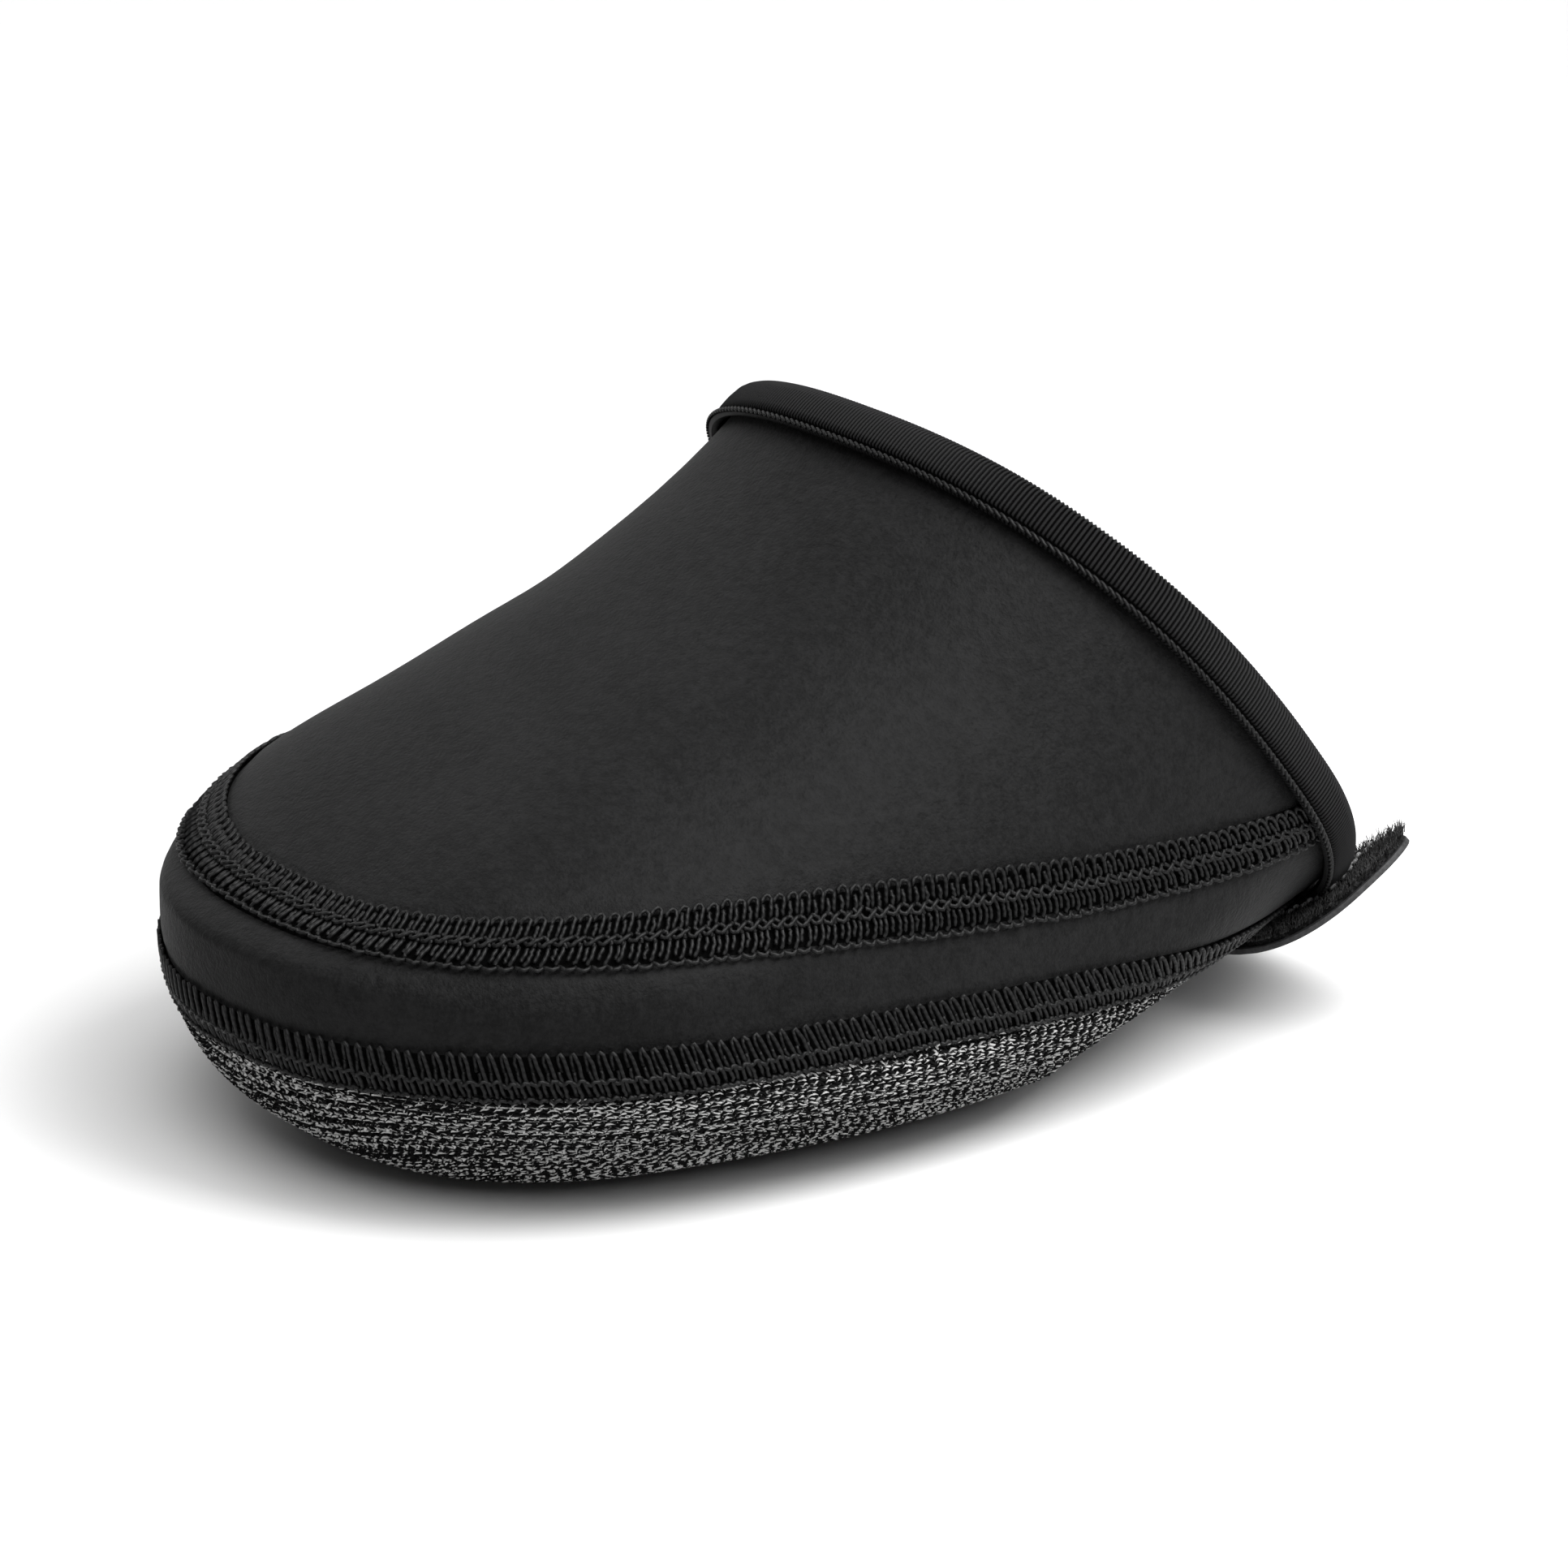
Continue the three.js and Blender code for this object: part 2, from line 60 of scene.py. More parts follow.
# Overall sizes
COVER_LENGTH = 165.0
BALL_WIDTH = 106.0
INSTEP_HEIGHT = 92.0
SOLE_PRESS = 1.2
WALL = 2.2
SEAM_RAISE = 0.6
SEAM_SINK = 0.2

# Lengthwise sections: place and width as shares of length and ball width, heights as shares of
# the instep height
SECTION_COLUMNS = ("at", "width", "ridge", "widest", "high_seam", "low_seam")
SECTIONS = np.array([
    (0.0, 0.92, 1.89, 0.697, 0.405, 0.166),
    (1 / 3, 1.0, 1.0, 0.258, 0.395, 0.23),
    (2 / 3, 1.002, 0.655, 0.248, 0.437, 0.259),
    (1.0, 0.668, 0.404, 0.375, 0.413, 0.245),
])
SIDE_ROUND = 2.47
CROWN_ROUND = 2.32
UNDER_ROUND = 2.55
TOE_ROUND = 2.7
TOE_START = 118.0
REAR_RISE = 10.5
RISE_LENGTH = 61.5
RISE_POWER = 0.75

# Collar line
COLLAR_FOOT = -5.8
COLLAR_LEAN = 0.71
COLLAR_BOW = 16.5
BINDING_WIDTH = 7.5
BINDING_CLOTH = 1.0
BINDING_GAP = 0.6
ROLL_OUT = WALL / 2 + BINDING_GAP + BINDING_CLOTH
UPPER_FOOT = COLLAR_FOOT + ROLL_OUT * math.hypot(1, COLLAR_LEAN)

# Seams
HIGH_SEAM_HALF = 4.0
LOW_SEAM_HALF = 3.4
FIT_GAP = 0.3

# Cleat opening
OPENING_HALF = 22.0
OPENING_REAR_HALF = 11.0
OPENING_FLARE = 60.0
OPENING_FRONT = 92.0
OPENING_ROUND = 20.0

# Strap
STRAP_REAR = -8.0
STRAP_WIDTH = 24.0
STRAP_CLOTH = 1.8
PILE_HEIGHT = 1.0
STRAP_GAP = 0.4
STRAP_SEWN_SHARE = 0.9
STRAP_GRIP_SHARE = 0.8
TAB_REACH = 46.6
TAB_SKEW = 4.0
TAB_CORNER = 0.42
TAB_CURL = 10.0
CURL_START = 7.2
CURL_POWER = 1.3
TAB_SLOPE = 0.32
STEEPEST = 0.3

# Patch inside the outer wall
PATCH_START = 15.0
PATCH_LENGTH = 24.0
PATCH_DROP = 1.0
PATCH_RISE = 5.0
PATCH_CLOTH = 0.9
PATCH_PITCH = 2.0

# Relief of the cloth: how fast it puffs up beside a seam and how slowly it sinks again, the ripple
# all over it, and how far ahead of the collar the relief is full
PUFF_RISE = 0.8
PUFF_FADE = 9.0
RIPPLE = 0.16
RIM_FADE = 14.0

# Mesh steps
HALF_COLUMNS = 200
TOP_ROWS = 36
BAND_ROWS = 12
SEAM_ROWS = 12
SOLE_ROWS = 40
DENSE = 500
LINE_STEPS = 120
SETTLING = 40
QUARTER = math.pi / 2
TURN = 2 * math.pi
MIRROR = np.array([-1, 1, 1])
UP = np.array([0.0, 0.0, 1.0])

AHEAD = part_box("strap")[1].y / MM + STRAP_REAR


# Form of the cover, worked out on whole arrays

def along(column, a):
    """Cubic through the four section rows."""
    k = SECTION_COLUMNS.index(column)
    u = np.asarray(a, float) / COVER_LENGTH
    total = np.zeros_like(u)
    for i, row in enumerate(SECTIONS):
        weight = np.full_like(u, row[k])
        for j, other in enumerate(SECTIONS):
            if j != i:
                weight = weight * (u - other[0]) / (row[0] - other[0])
        total = total + weight
    return total


def half_width(a):
    return along("width", a) * BALL_WIDTH / 2


def ridge_height(a):
    return along("ridge", a) * INSTEP_HEIGHT


def widest_height(a):
    return along("widest", a) * INSTEP_HEIGHT


def high_seam(a):
    return along("high_seam", a) * INSTEP_HEIGHT


def low_seam(a):
    return along("low_seam", a) * INSTEP_HEIGHT


def under_height(a):
    rise = np.maximum(0, 1 - np.asarray(a, float) / RISE_LENGTH)
    return (REAR_RISE + SOLE_PRESS) * rise ** RISE_POWER - SOLE_PRESS


def toe_share(a):
    return np.clip((a - TOE_START) / (COVER_LENGTH - TOE_START), 0, 1) ** TOE_ROUND


def section_reach(a, above):
    widest = widest_height(a)
    return np.where(above, ridge_height(a) - widest, widest - under_height(a))


def fullness(x, a, z):
    """1 on the surface, less inside."""
    widest = widest_height(a)
    above = z >= widest
    roundness = np.where(above, CROWN_ROUND, UNDER_ROUND)
    across = (np.abs(x) / half_width(a)) ** SIDE_ROUND
    upright = (np.abs(z - widest) / section_reach(a, above)) ** roundness
    return across + upright + toe_share(a)


def width_at(a, z):
    left = np.maximum(0, 1 - fullness(0, a, z))
    return half_width(a) * left ** (1 / SIDE_ROUND)


def gradient(p):
    h = 0.02
    x, a, z = p[..., 0], p[..., 1], p[..., 2]
    return np.stack([
        fullness(x + h, a, z) - fullness(x - h, a, z),
        fullness(x, a + h, z) - fullness(x, a - h, z),
        fullness(x, a, z + h) - fullness(x, a, z - h),
    ], -1) / (2 * h)


def unit(v):
    return v / np.maximum(1e-12, np.linalg.norm(v, axis=-1, keepdims=True))


def outward(p):
    n = unit(gradient(p))
    n[..., 0] = np.where(np.abs(p[..., 0]) < 1e-6, 0, n[..., 0])
    return unit(n)


def settle(p):
    """Nearest point of the form."""
    q = p.copy()
    for _ in range(4):
        g = gradient(q)
        miss = 1 - fullness(q[..., 0], q[..., 1], q[..., 2])
        q = q + g * (miss / (g ** 2).sum(-1))[..., None]
    return q


def section_point(a, angle):
    above = angle >= 0
    roundness = np.where(above, CROWN_ROUND, UNDER_ROUND)
    left = np.maximum(0, 1 - toe_share(a))
    lean = np.minimum(1, np.abs(np.sin(angle)))
    reach = section_reach(a, above) * left ** (1 / roundness) * lean ** (2 / roundness)
    out = np.maximum(0, np.cos(angle))
    x = half_width(a) * left ** (1 / SIDE_ROUND) * out ** (2 / SIDE_ROUND)
    z = widest_height(a) + np.where(above, reach, -reach)
    return np.stack(np.broadcast_arrays(x, a, z), -1)


def angle_at_height(a, z):
    widest = widest_height(a)
    above = z >= widest
    roundness = np.where(above, CROWN_ROUND, UNDER_ROUND)
    left = np.maximum(1e-9, 1 - toe_share(a)) ** (1 / roundness)
    lean = np.minimum(1, np.abs(z - widest) / (section_reach(a, above) * left)) ** (roundness / 2)
    return np.where(above, 1, -1) * np.arcsin(lean)


def angle_at_width(a, x):
    left = np.maximum(1e-9, 1 - toe_share(a)) ** (1 / SIDE_ROUND)
    return -np.arccos(np.minimum(1, x / (half_width(a) * left)) ** (SIDE_ROUND / 2))


def beside(height_of, distance):
    """Height of a line at a distance over the form from another one."""
    def height(a):
        z = height_of(a)
        middle = z
        for _ in range(3):
            n = unit(gradient(np.stack(np.broadcast_arrays(width_at(a, middle), a, middle), -1)))
            middle = z + np.hypot(n[..., 0], n[..., 1]) * distance / 2
        return z + (middle - z) * 2
    return height


LEAN_BASE = float(low_seam(0.0))


def collar_shift(z):
    height = z - LEAN_BASE
    return COLLAR_LEAN * height + COLLAR_BOW * (height / INSTEP_HEIGHT) ** 2


def station_at(advance, height_of):
    fade = 1 - advance / (COVER_LENGTH - UPPER_FOOT)
    a = UPPER_FOOT + advance
    for _ in range(SETTLING):
        a = (a + UPPER_FOOT + advance + collar_shift(height_of(a)) * fade) / 2
    return a


def advance_of(a, z):
    shift = collar_shift(z)
    return (a - UPPER_FOOT - shift) / (1 - shift / (COVER_LENGTH - UPPER_FOOT))


def run_of(line):
    """Length run along a line up to each of its points."""
    return np.concatenate([[0], np.cumsum(np.linalg.norm(np.diff(line, axis=0), axis=1))])


def pick(field, run, place):
    """What a field along a line holds at places on it."""
    return np.stack([np.interp(place, run, field[:, k]) for k in range(3)], -1)


def evenly(line, count):
    """Points at even spacing along a dense line."""
    run = run_of(line)
    return pick(line, run, run[-1] * np.linspace(0, 1, count + 1))


def mirrored(half):
    """Left half, then the right half back from the toe; the centre point is shared."""
    other = half[..., :-1, :][..., ::-1, :] * MIRROR
    return np.concatenate([half, other], -2)


def toe_end(height_of):
    low, high = TOE_START, COVER_LENGTH
    for _ in range(50):
        middle = (low + high) / 2
        if fullness(0.0, middle, height_of(np.array(middle))) < 1:
            low = middle
        else:
            high = middle
    return low


def level_line(height_of):
    start = float(station_at(np.array(0.0), height_of))
    t = np.linspace(0, 1, DENSE + 1)
    a = start + (toe_end(height_of) - start) * (1 - (1 - t) ** SIDE_ROUND)
    z = height_of(a)
    x = width_at(a, z)
    x[-1] = 0
    return evenly(np.stack([x, a, z], -1), HALF_COLUMNS)


def form_lines(start, end, start_angle, end_angle, rows):
    """Lines over the form from each start to its end, as rows of points."""
    t = np.linspace(0, 1, LINE_STEPS + 1)[:, None]
    first = advance_of(start[:, 1], start[:, 2])
    last = advance_of(end[:, 1], end[:, 2])
    advance = first + (last - first) * t
    angle = start_angle + (end_angle - start_angle) * t
    a = station_at(advance, lambda b: section_point(b, angle)[..., 2])
    line = section_point(a, angle)
    line[0], line[-1] = start, end
    return np.stack([evenly(line[:, c], rows) for c in range(line.shape[1])], 1)


def under_point(x, a):
    p = section_point(a, angle_at_width(a, np.abs(x)))
    p[..., 0] = x
    return p


def in_frame(p, ahead=AHEAD):
    """Points of the form in the row's frame, in metres; directions have no shift ahead."""
    return np.stack([p[..., 0], ahead - p[..., 1], p[..., 2]], -1) * MM


# Mesh making

def clear_selection():
    for ob in bpy.context.selected_objects:
        ob.select_set(False)


def choose(ob):
    clear_selection()
    ob.select_set(True)
    bpy.context.view_layer.objects.active = ob


def shade_smooth(ob, angle):
    choose(ob)
    bpy.ops.object.shade_smooth_by_angle(angle=math.radians(angle))


def in_edit_mode(ob, *steps):
    """Runs mesh operators on the whole of a piece."""
    choose(ob)
    bpy.ops.object.mode_set(mode="EDIT")
    bpy.ops.mesh.select_all(action="SELECT")
    for step in steps:
        step()
    bpy.ops.object.mode_set(mode="OBJECT")


def place_uv(ob, uv):
    """Writes a UV map from one pair for each vertex."""
    mesh = ob.data
    layer = mesh.uv_layers.active or mesh.uv_layers.new(name="UVMap")
    corner = np.zeros(len(mesh.loops), np.int32)
    mesh.loops.foreach_get("vertex_index", corner)
    layer.data.foreach_set("uv", uv.reshape(-1, 2)[corner].astype(np.float32).ravel())


def surface_lengths(p):
    """Distance along the rows and across them, in millimetres, as a UV for each point."""
    u = np.zeros(p.shape[:2])
    v = np.zeros(p.shape[:2])
    u[:, 1:] = np.cumsum(np.linalg.norm(np.diff(p, axis=1), axis=-1), axis=1)
    v[1:] = np.cumsum(np.linalg.norm(np.diff(p, axis=0), axis=-1), axis=0)
    return u - u[:, -1:] / 2, v


def faces_out(placed, outer):
    """Whether a sheet's own faces look the way that outer points."""
    across = placed[:-1, 1:] - placed[:-1, :-1]
    up = placed[1:, :-1] - placed[:-1, :-1]
    facing = (np.cross(across, up) * in_frame(outer[:-1, :-1], 0)).sum(-1)
    return facing.sum() > 0


def lay_sheet(name, points, uv, outer):
    """A grid of cloth laid on the form, point by point, its faces toward outer."""
    rows, columns = points.shape[:2]
    clear_selection()
    bpy.ops.mesh.primitive_grid_add(x_subdivisions=columns - 1, y_subdivisions=rows - 1, size=1)
    ob = bpy.context.active_object
    ob.name = ob.data.name = name
    placed = in_frame(points)
    ob.data.vertices.foreach_set("co", placed.astype(np.float32).ravel())
    place_uv(ob, np.stack(uv, -1))
    if not faces_out(placed, outer):
        in_edit_mode(ob, bpy.ops.mesh.flip_normals)
    ob.data.update()
    return ob


def weld(ob):
    in_edit_mode(ob, lambda: bpy.ops.mesh.remove_doubles(threshold=0.02 * MM))


def give_wall(ob, thickness, inner_slot=0):
    """Gives a sheet its thickness inwards and closes its edges."""
    choose(ob)
    wall = ob.modifiers.new("wall", "SOLIDIFY")
    wall.thickness = thickness * MM
    wall.offset = -1
    wall.use_even_offset = False
    wall.material_offset = inner_slot
    bpy.ops.object.modifier_apply(modifier="wall")


def soften_edges(ob, width, segments=2):
    choose(ob)
    edge = ob.modifiers.new("edge", "BEVEL")
    edge.width = width * MM
    edge.segments = segments
    edge.limit_method = "ANGLE"
    edge.angle_limit = math.radians(50)
    bpy.ops.object.modifier_apply(modifier="edge")


def spun_thread(name, paths, normals, radius, sides=5, lengths=None):
    """Closed tubes of thread along paths of equal point count, all in one mesh. Its UV map holds
    the length along the thread in millimetres and the share of the turn round it."""
    paths = np.asarray(paths, float)
    normals = np.asarray(normals, float)
    count, steps = paths.shape[:2]
    tangent = unit(np.gradient(paths, axis=1))
    side = unit(np.cross(tangent, normals))
    up = np.cross(side, tangent)
    turn = TURN * np.arange(sides) / sides
    ring = side[:, :, None] * np.cos(turn)[:, None] + up[:, :, None] * np.sin(turn)[:, None]
    radius = np.broadcast_to(np.asarray(radius, float), (count, steps))
    points = paths[:, :, None] + ring * radius[:, :, None, None]
    index = np.arange(count * steps * sides).reshape(count, steps, sides)
    after = np.roll(index, -1, axis=2)
    quads = np.stack([index[:, :-1], after[:, :-1], after[:, 1:], index[:, 1:]], -1).reshape(-1, 4)
    step = np.linalg.norm(np.diff(paths, axis=1), axis=-1)
    run = np.concatenate([np.zeros((count, 1)), np.cumsum(step, axis=1)], 1)
    if lengths is not None:
        run = run + lengths[:, None]
    spread = (count, steps - 1, sides)
    u0, u1 = (np.broadcast_to(u[..., None], spread) for u in (run[:, :-1], run[:, 1:]))
    v0 = np.broadcast_to(np.arange(sides) / sides, spread)
    v1 = v0 + 1 / sides
    uv = np.stack([np.stack(pair, -1) for pair in ((u0, v0), (u0, v1), (u1, v1), (u1, v0))], 3)
    caps = np.concatenate([index[:, 0, ::-1], index[:, -1]])
    cap_uv = np.zeros((len(caps) * sides, 2))
    mesh = bpy.data.meshes.new(name)
    mesh.vertices.add(index.size)
    mesh.vertices.foreach_set("co", in_frame(points).astype(np.float32).ravel())
    corners = np.concatenate([quads[:, ::-1].ravel(), caps[:, ::-1].ravel()])
    mesh.loops.add(len(corners))
    mesh.loops.foreach_set("vertex_index", corners.astype(np.int32))
    sizes = np.concatenate([np.full(len(quads), 4), np.full(len(caps), sides)])
    mesh.polygons.add(len(sizes))
    starts = np.concatenate([[0], np.cumsum(sizes)[:-1]])
    mesh.polygons.foreach_set("loop_start", starts.astype(np.int32))
    layer = mesh.uv_layers.new(name="UVMap")
    all_uv = np.concatenate([uv.reshape(-1, 4, 2)[:, ::-1].reshape(-1, 2), cap_uv])
    layer.data.foreach_set("uv", all_uv.astype(np.float32).ravel())
    mesh.polygons.foreach_set("use_smooth", np.ones(len(sizes), bool))
    mesh.update(calc_edges=True)
    mesh.validate()
    ob = bpy.data.objects.new(name, mesh)
    bpy.context.scene.collection.objects.link(ob)
    return ob


def lay_stitches(name, count, stitch, radius, finish):
    """A row of stitches; stitch gives the points of each and the way they face."""
    paths, normals = zip(*map(stitch, range(count)))
    finish_piece(spun_thread(name, paths, normals, radius), [finish])


def finish_piece(ob, materials, replaces=None):
    indices = np.zeros(len(ob.data.polygons), np.int32)
    ob.data.polygons.foreach_get("material_index", indices)
    ob.data.materials.clear()
    for material in materials:
        ob.data.materials.append(material)
    ob.data.polygons.foreach_set("material_index", indices)
    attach(ob, "root")
    if replaces:
        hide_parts(replaces)


# Shader maths

class Value:
    """A socket that takes part in Python expressions."""

    def __init__(self, finish, socket):
        self.finish = finish
        self.socket = socket

    def _math(self, operation, second=0.0):
        return self.finish.node("Math", {"operation": operation}, {0: self, 1: second})

    def __add__(self, other):
        return self._math("ADD", other)

    def __sub__(self, other):
        return self._math("SUBTRACT", other)

    def __mul__(self, other):
        return self._math("MULTIPLY", other)

    def sine(self):
        return self._math("SINE")

    def between(self, low, high):
        """0 at low, 1 at high, smooth on the way."""
        inputs = {"Value": self, "From Min": low, "From Max": high}
        return self.finish.node("MapRange", {"interpolation_type": "SMOOTHSTEP"}, inputs, "Result")


class Finish:
    """A material, built up from nodes."""

    def __init__(self, name, **constants):
        self.material = bpy.data.materials.new(name)
        self.material.use_nodes = True
        self.tree = self.material.node_tree
        self.shader = next(n for n in self.tree.nodes if n.type == "BSDF_PRINCIPLED")
        for socket, value in constants.items():
            self.set(socket.replace("_", " "), value)

    def node(self, kind, settings=None, inputs=None, output=0):
        made = self.tree.nodes.new("ShaderNode" + kind)
        for key, value in (settings or {}).items():
            setattr(made, key, value)
        for key, value in (inputs or {}).items():
            self.feed(made.inputs[key], value)
        return Value(self, made.outputs[output])

    def feed(self, socket, value):
        if isinstance(value, Value):
            self.tree.links.new(value.socket, socket)
        else:
            socket.default_value = value

    def set(self, socket, value):
        self.feed(self.shader.inputs[socket], value)

    def uv(self):
        """Along and across the piece, in millimetres."""
        split = self.node("SeparateXYZ", None, {0: self.node("TexCoord", output="UV")})
        return split, Value(self, split.socket.node.outputs[1])

    def twist(self, pitch):
        """Angle of a ply that runs once round the thread in each pitch, in millimetres."""
        u, v = self.uv()
        return u * (TURN / pitch) + v * TURN

    def noise(self, size, detail=2.0, roughness=0.5):
        """Noise whose blotches are about size millimetres across."""
        return self.node("TexNoise", None, {
            "Vector": self.node("TexCoord", output="Object"), "Scale": 1 / (size * MM),
            "Detail": detail, "Roughness": roughness,
        })

    def blend(self, share, first, second):
        return self.node("Mix", {"data_type": "RGBA"}, {"Factor": share, 6: first, 7: second}, 2)

    def dye(self, share, first, second):
        self.set("Base Color", self.blend(share, first, second))

    def emboss(self, height, depth, strength=1.0):
        """Relief of depth millimetres."""
        inputs = {"Height": height, "Distance": depth * MM, "Strength": strength}
        self.set("Normal", self.node("Bump", None, inputs))


def tint(rgb, share=1.0):
    return (*[c * share for c in rgb], 1.0)


def softshell_finish(looks):
    f = Finish("softshell cloth", Roughness=0.6, IOR=1.16, Sheen_Weight=0.012, Sheen_Roughness=0.5)
    grain = f.noise(0.55, 3.0, 0.65)
    weave = f.noise(1.6)
    cloud = f.noise(16.0)
    tone = (grain * 0.5 + weave * 0.3 + cloud * 0.2).between(0.36, 0.64)
    f.dye(tone, tint(looks.softshell, 0.55), tint(looks.softshell, 1.5))
    f.set("Roughness", grain * 0.25 + 0.5)
    f.emboss(grain * 0.7 + weave * 0.5, 0.3)
    return f.material


def lining_finish(looks):
    f = Finish("brushed lining", Roughness=0.95, IOR=1.1, Sheen_Weight=0.04, Sheen_Roughness=0.6)
    tuft = f.noise(0.9, 4.0, 0.7)
    nap = f.noise(3.5, 3.0)
    tone = (tuft * 0.6 + nap * 0.4).between(0.35, 0.65)
    f.dye(tone, tint(looks.lining, 0.6), tint(looks.lining, 1.5))
    f.emboss(tuft + nap * 0.6, 0.7)
    return f.material


def seam_bed_shade_finish():
    """Raw cloth edges under the seam threads, coloured near black: painted shade of the sunk seam valley."""
    f = Finish("seam bed, painted shade", Roughness=0.95, IOR=1.05)
    strand = f.noise(0.5, 3.0)
    f.dye(strand, tint((0.0008, 0.0008, 0.0008)), tint((0.003, 0.003, 0.003)))
    f.emboss(strand, 0.2)
    return f.material


def thread_finish(name, base, roughness=0.5):
    f = Finish(name, Roughness=roughness, IOR=1.25)
    ply = f.twist(0.9).sine() * 0.5 + 0.5
    tone = (ply * 0.6 + f.noise(0.8) * 0.4).between(0.25, 0.75)
    f.dye(tone, tint(base, 0.6), tint(base, 1.35))
    f.emboss(ply, 0.05, 0.8)
    return f.material


def yarn_finish(looks):
    f = Finish("marled yarn", Roughness=0.85, IOR=1.15)
    plies = (f.twist(2.9) + f.noise(2.2) * 9.0).sine()
    hair = f.noise(0.35, 2.0, 0.7)
    f.dye((plies + hair * 0.9).between(0.8, 1.3), tint(looks.yarn_dark), tint(looks.yarn_light))
    f.emboss(hair + plies * 0.2, 0.1, 0.8)
    return f.material


def knit_ground_finish(looks):
    f = Finish("knit ground", Roughness=0.95, IOR=1.05)
    fleck = f.noise(0.8, 3.0)
    f.dye(fleck.between(0.5, 0.7), tint(looks.yarn_dark), tint(looks.yarn_light, 0.12))
    f.emboss(fleck, 0.3)
    return f.material


def binding_finish(looks):
    f = Finish("ribbed binding tape, painted rib shade", Roughness=0.55, IOR=1.1)
    u, v = f.uv()
    grain = f.noise(0.3)
    # Painted rib highlight and shade: the ribbed colour runs light on the rib tops and near black in the
    # grooves between them.
    rib = (u * (TURN / 0.67) + QUARTER).sine() * 0.5 + 0.5
    tone = (rib * 0.8 + grain * 0.2).between(0.25, 0.7)
    ribbed = f.blend(tone, tint(looks.binding, 0.06), tint(looks.binding, 1.3))
    # Painted shade: a near-black stripe across the tape where the groove between the edge cord and the ribs
    # lies in shadow.
    groove_shade = v.between(1.5, 1.8) - v.between(2.3, 2.7)
    f.dye(groove_shade, ribbed, tint((0.0004, 0.0004, 0.0004)))
    f.emboss(grain, 0.08, 0.8)
    return f.material


def strap_finish(looks):
    f = Finish("strap tape", Roughness=0.6, IOR=1.3)
    weave = f.noise(0.9)
    grain = f.noise(0.4)
    tone = (weave * 0.5 + grain * 0.5).between(0.25, 0.75)
    f.dye(tone, tint(looks.strap, 2.2), tint(looks.strap, 5.5))
    f.emboss(weave + grain * 0.5, 0.12, 0.9)
    return f.material


def pile_finish(looks):
    f = Finish("loop pile", Roughness=0.9, IOR=1.15, Sheen_Weight=0.05)
    tuft = f.noise(0.7, 4.0, 0.7)
    f.dye(tuft.between(0.47, 0.68), tint(looks.strap, 0.15), tint(looks.strap, 2.6))
    f.emboss(tuft, 0.6)
    return f.material


# Sizes and colours that a user would change

def length_property(name, description, default, least):
    """A size in millimetres, kept in metres."""
    return FloatProperty(
        name=name, description=description, default=default * MM, min=least * MM,
        unit="LENGTH", subtype="DISTANCE")


def colour_property(name, description, default):
    return FloatVectorProperty(
        name=name, description=description, default=default, size=3, min=0, max=1, subtype="COLOR")


class CoverSizes(bpy.types.PropertyGroup):
    """Sizes of the cloths and stitches"""

    seam_puff: length_property("Seam puff", "How far the cloth puffs up beside a flatlock seam", 0.1, 0)
    stitch_pitch: length_property("Stitch pitch", "Length of one flatlock stitch along the seam", 1.95, 0.5)
    thread: length_property("Thread", "Thickness of the seam thread", 0.6, 0.1)
    wale: length_property("Knit wale", "Width of one knit stitch", 1.75, 0.5)
    course: length_property("Knit course", "Height of one row of knit stitches", 1.45, 0.5)
    yarn: length_property("Yarn", "Thickness of the knit yarn", 0.66, 0.1)
    rib: length_property("Binding rib", "Spacing of the ribs across the collar binding", 0.67, 0.2)


class CoverLooks(bpy.types.PropertyGroup):
    """Colours of the cloths"""

    softshell: colour_property(
        "Softshell", "Black of the top panel and side band", (0.0055, 0.0055, 0.0056))
    lining: colour_property("Lining", "Brushed inside of the softshell", (0.0055, 0.0055, 0.0056))
    thread: colour_property("Seam thread", "Thread of the flatlock seams", (0.0052, 0.0052, 0.0053))
    yarn_light: colour_property("Light ply", "White ply of the knit yarn", (0.42, 0.42, 0.415))
    yarn_dark: colour_property("Dark ply", "Black ply of the knit yarn", (0.0035, 0.0035, 0.0036))
    binding: colour_property("Binding", "Ribbed elastic of the collar", (0.0095, 0.0095, 0.0097))
    strap: colour_property("Strap", "Hook and loop strap", (0.007, 0.007, 0.0072))


class CoverStage(bpy.types.PropertyGroup):
    """Floor, lights and camera"""

    floor_size: FloatProperty(
        name="Floor", description="Width of the floor", default=6.0, min=1, unit="LENGTH", subtype="DISTANCE")
    sky: FloatProperty(name="Sky", description="Brightness of the white room", default=0.2, min=0)
    key: FloatProperty(
        name="Key light", description="Strength of the broad light from above", default=7.4, min=0)
    softbox: FloatProperty(
        name="Softbox", description="Power of the softbox near the collar", default=3.0, min=0)
    camera_turn: FloatProperty(
        name="Camera turn", description="Turn of the camera from the outer side toward the toe",
        default=math.radians(37.39), unit="ROTATION", subtype="ANGLE")
    camera_rise: FloatProperty(
        name="Camera rise", description="Angle of the camera above the floor",
        default=math.radians(19.0), unit="ROTATION", subtype="ANGLE")
    camera_roll: FloatProperty(
        name="Camera roll", description="Roll of the camera about its own line of sight",
        default=math.radians(-0.73), unit="ROTATION", subtype="ANGLE")
    camera_distance: FloatProperty(
        name="Camera distance", description="Distance from the middle of the cover",
        default=1.0, min=0.2, unit="LENGTH", subtype="DISTANCE")
    frame_width: FloatProperty(
        name="Width in view", description="Width of what the camera sees at the cover",
        default=0.2157, min=0.05, unit="LENGTH", subtype="DISTANCE")


# Sheets shared by several pieces

# Where the spine of the top panel ends, along the foot
SPINE_FRONT = 138.0


def ridge_point_height(a):
    return section_point(a, np.full_like(a, QUARTER))[..., 2]


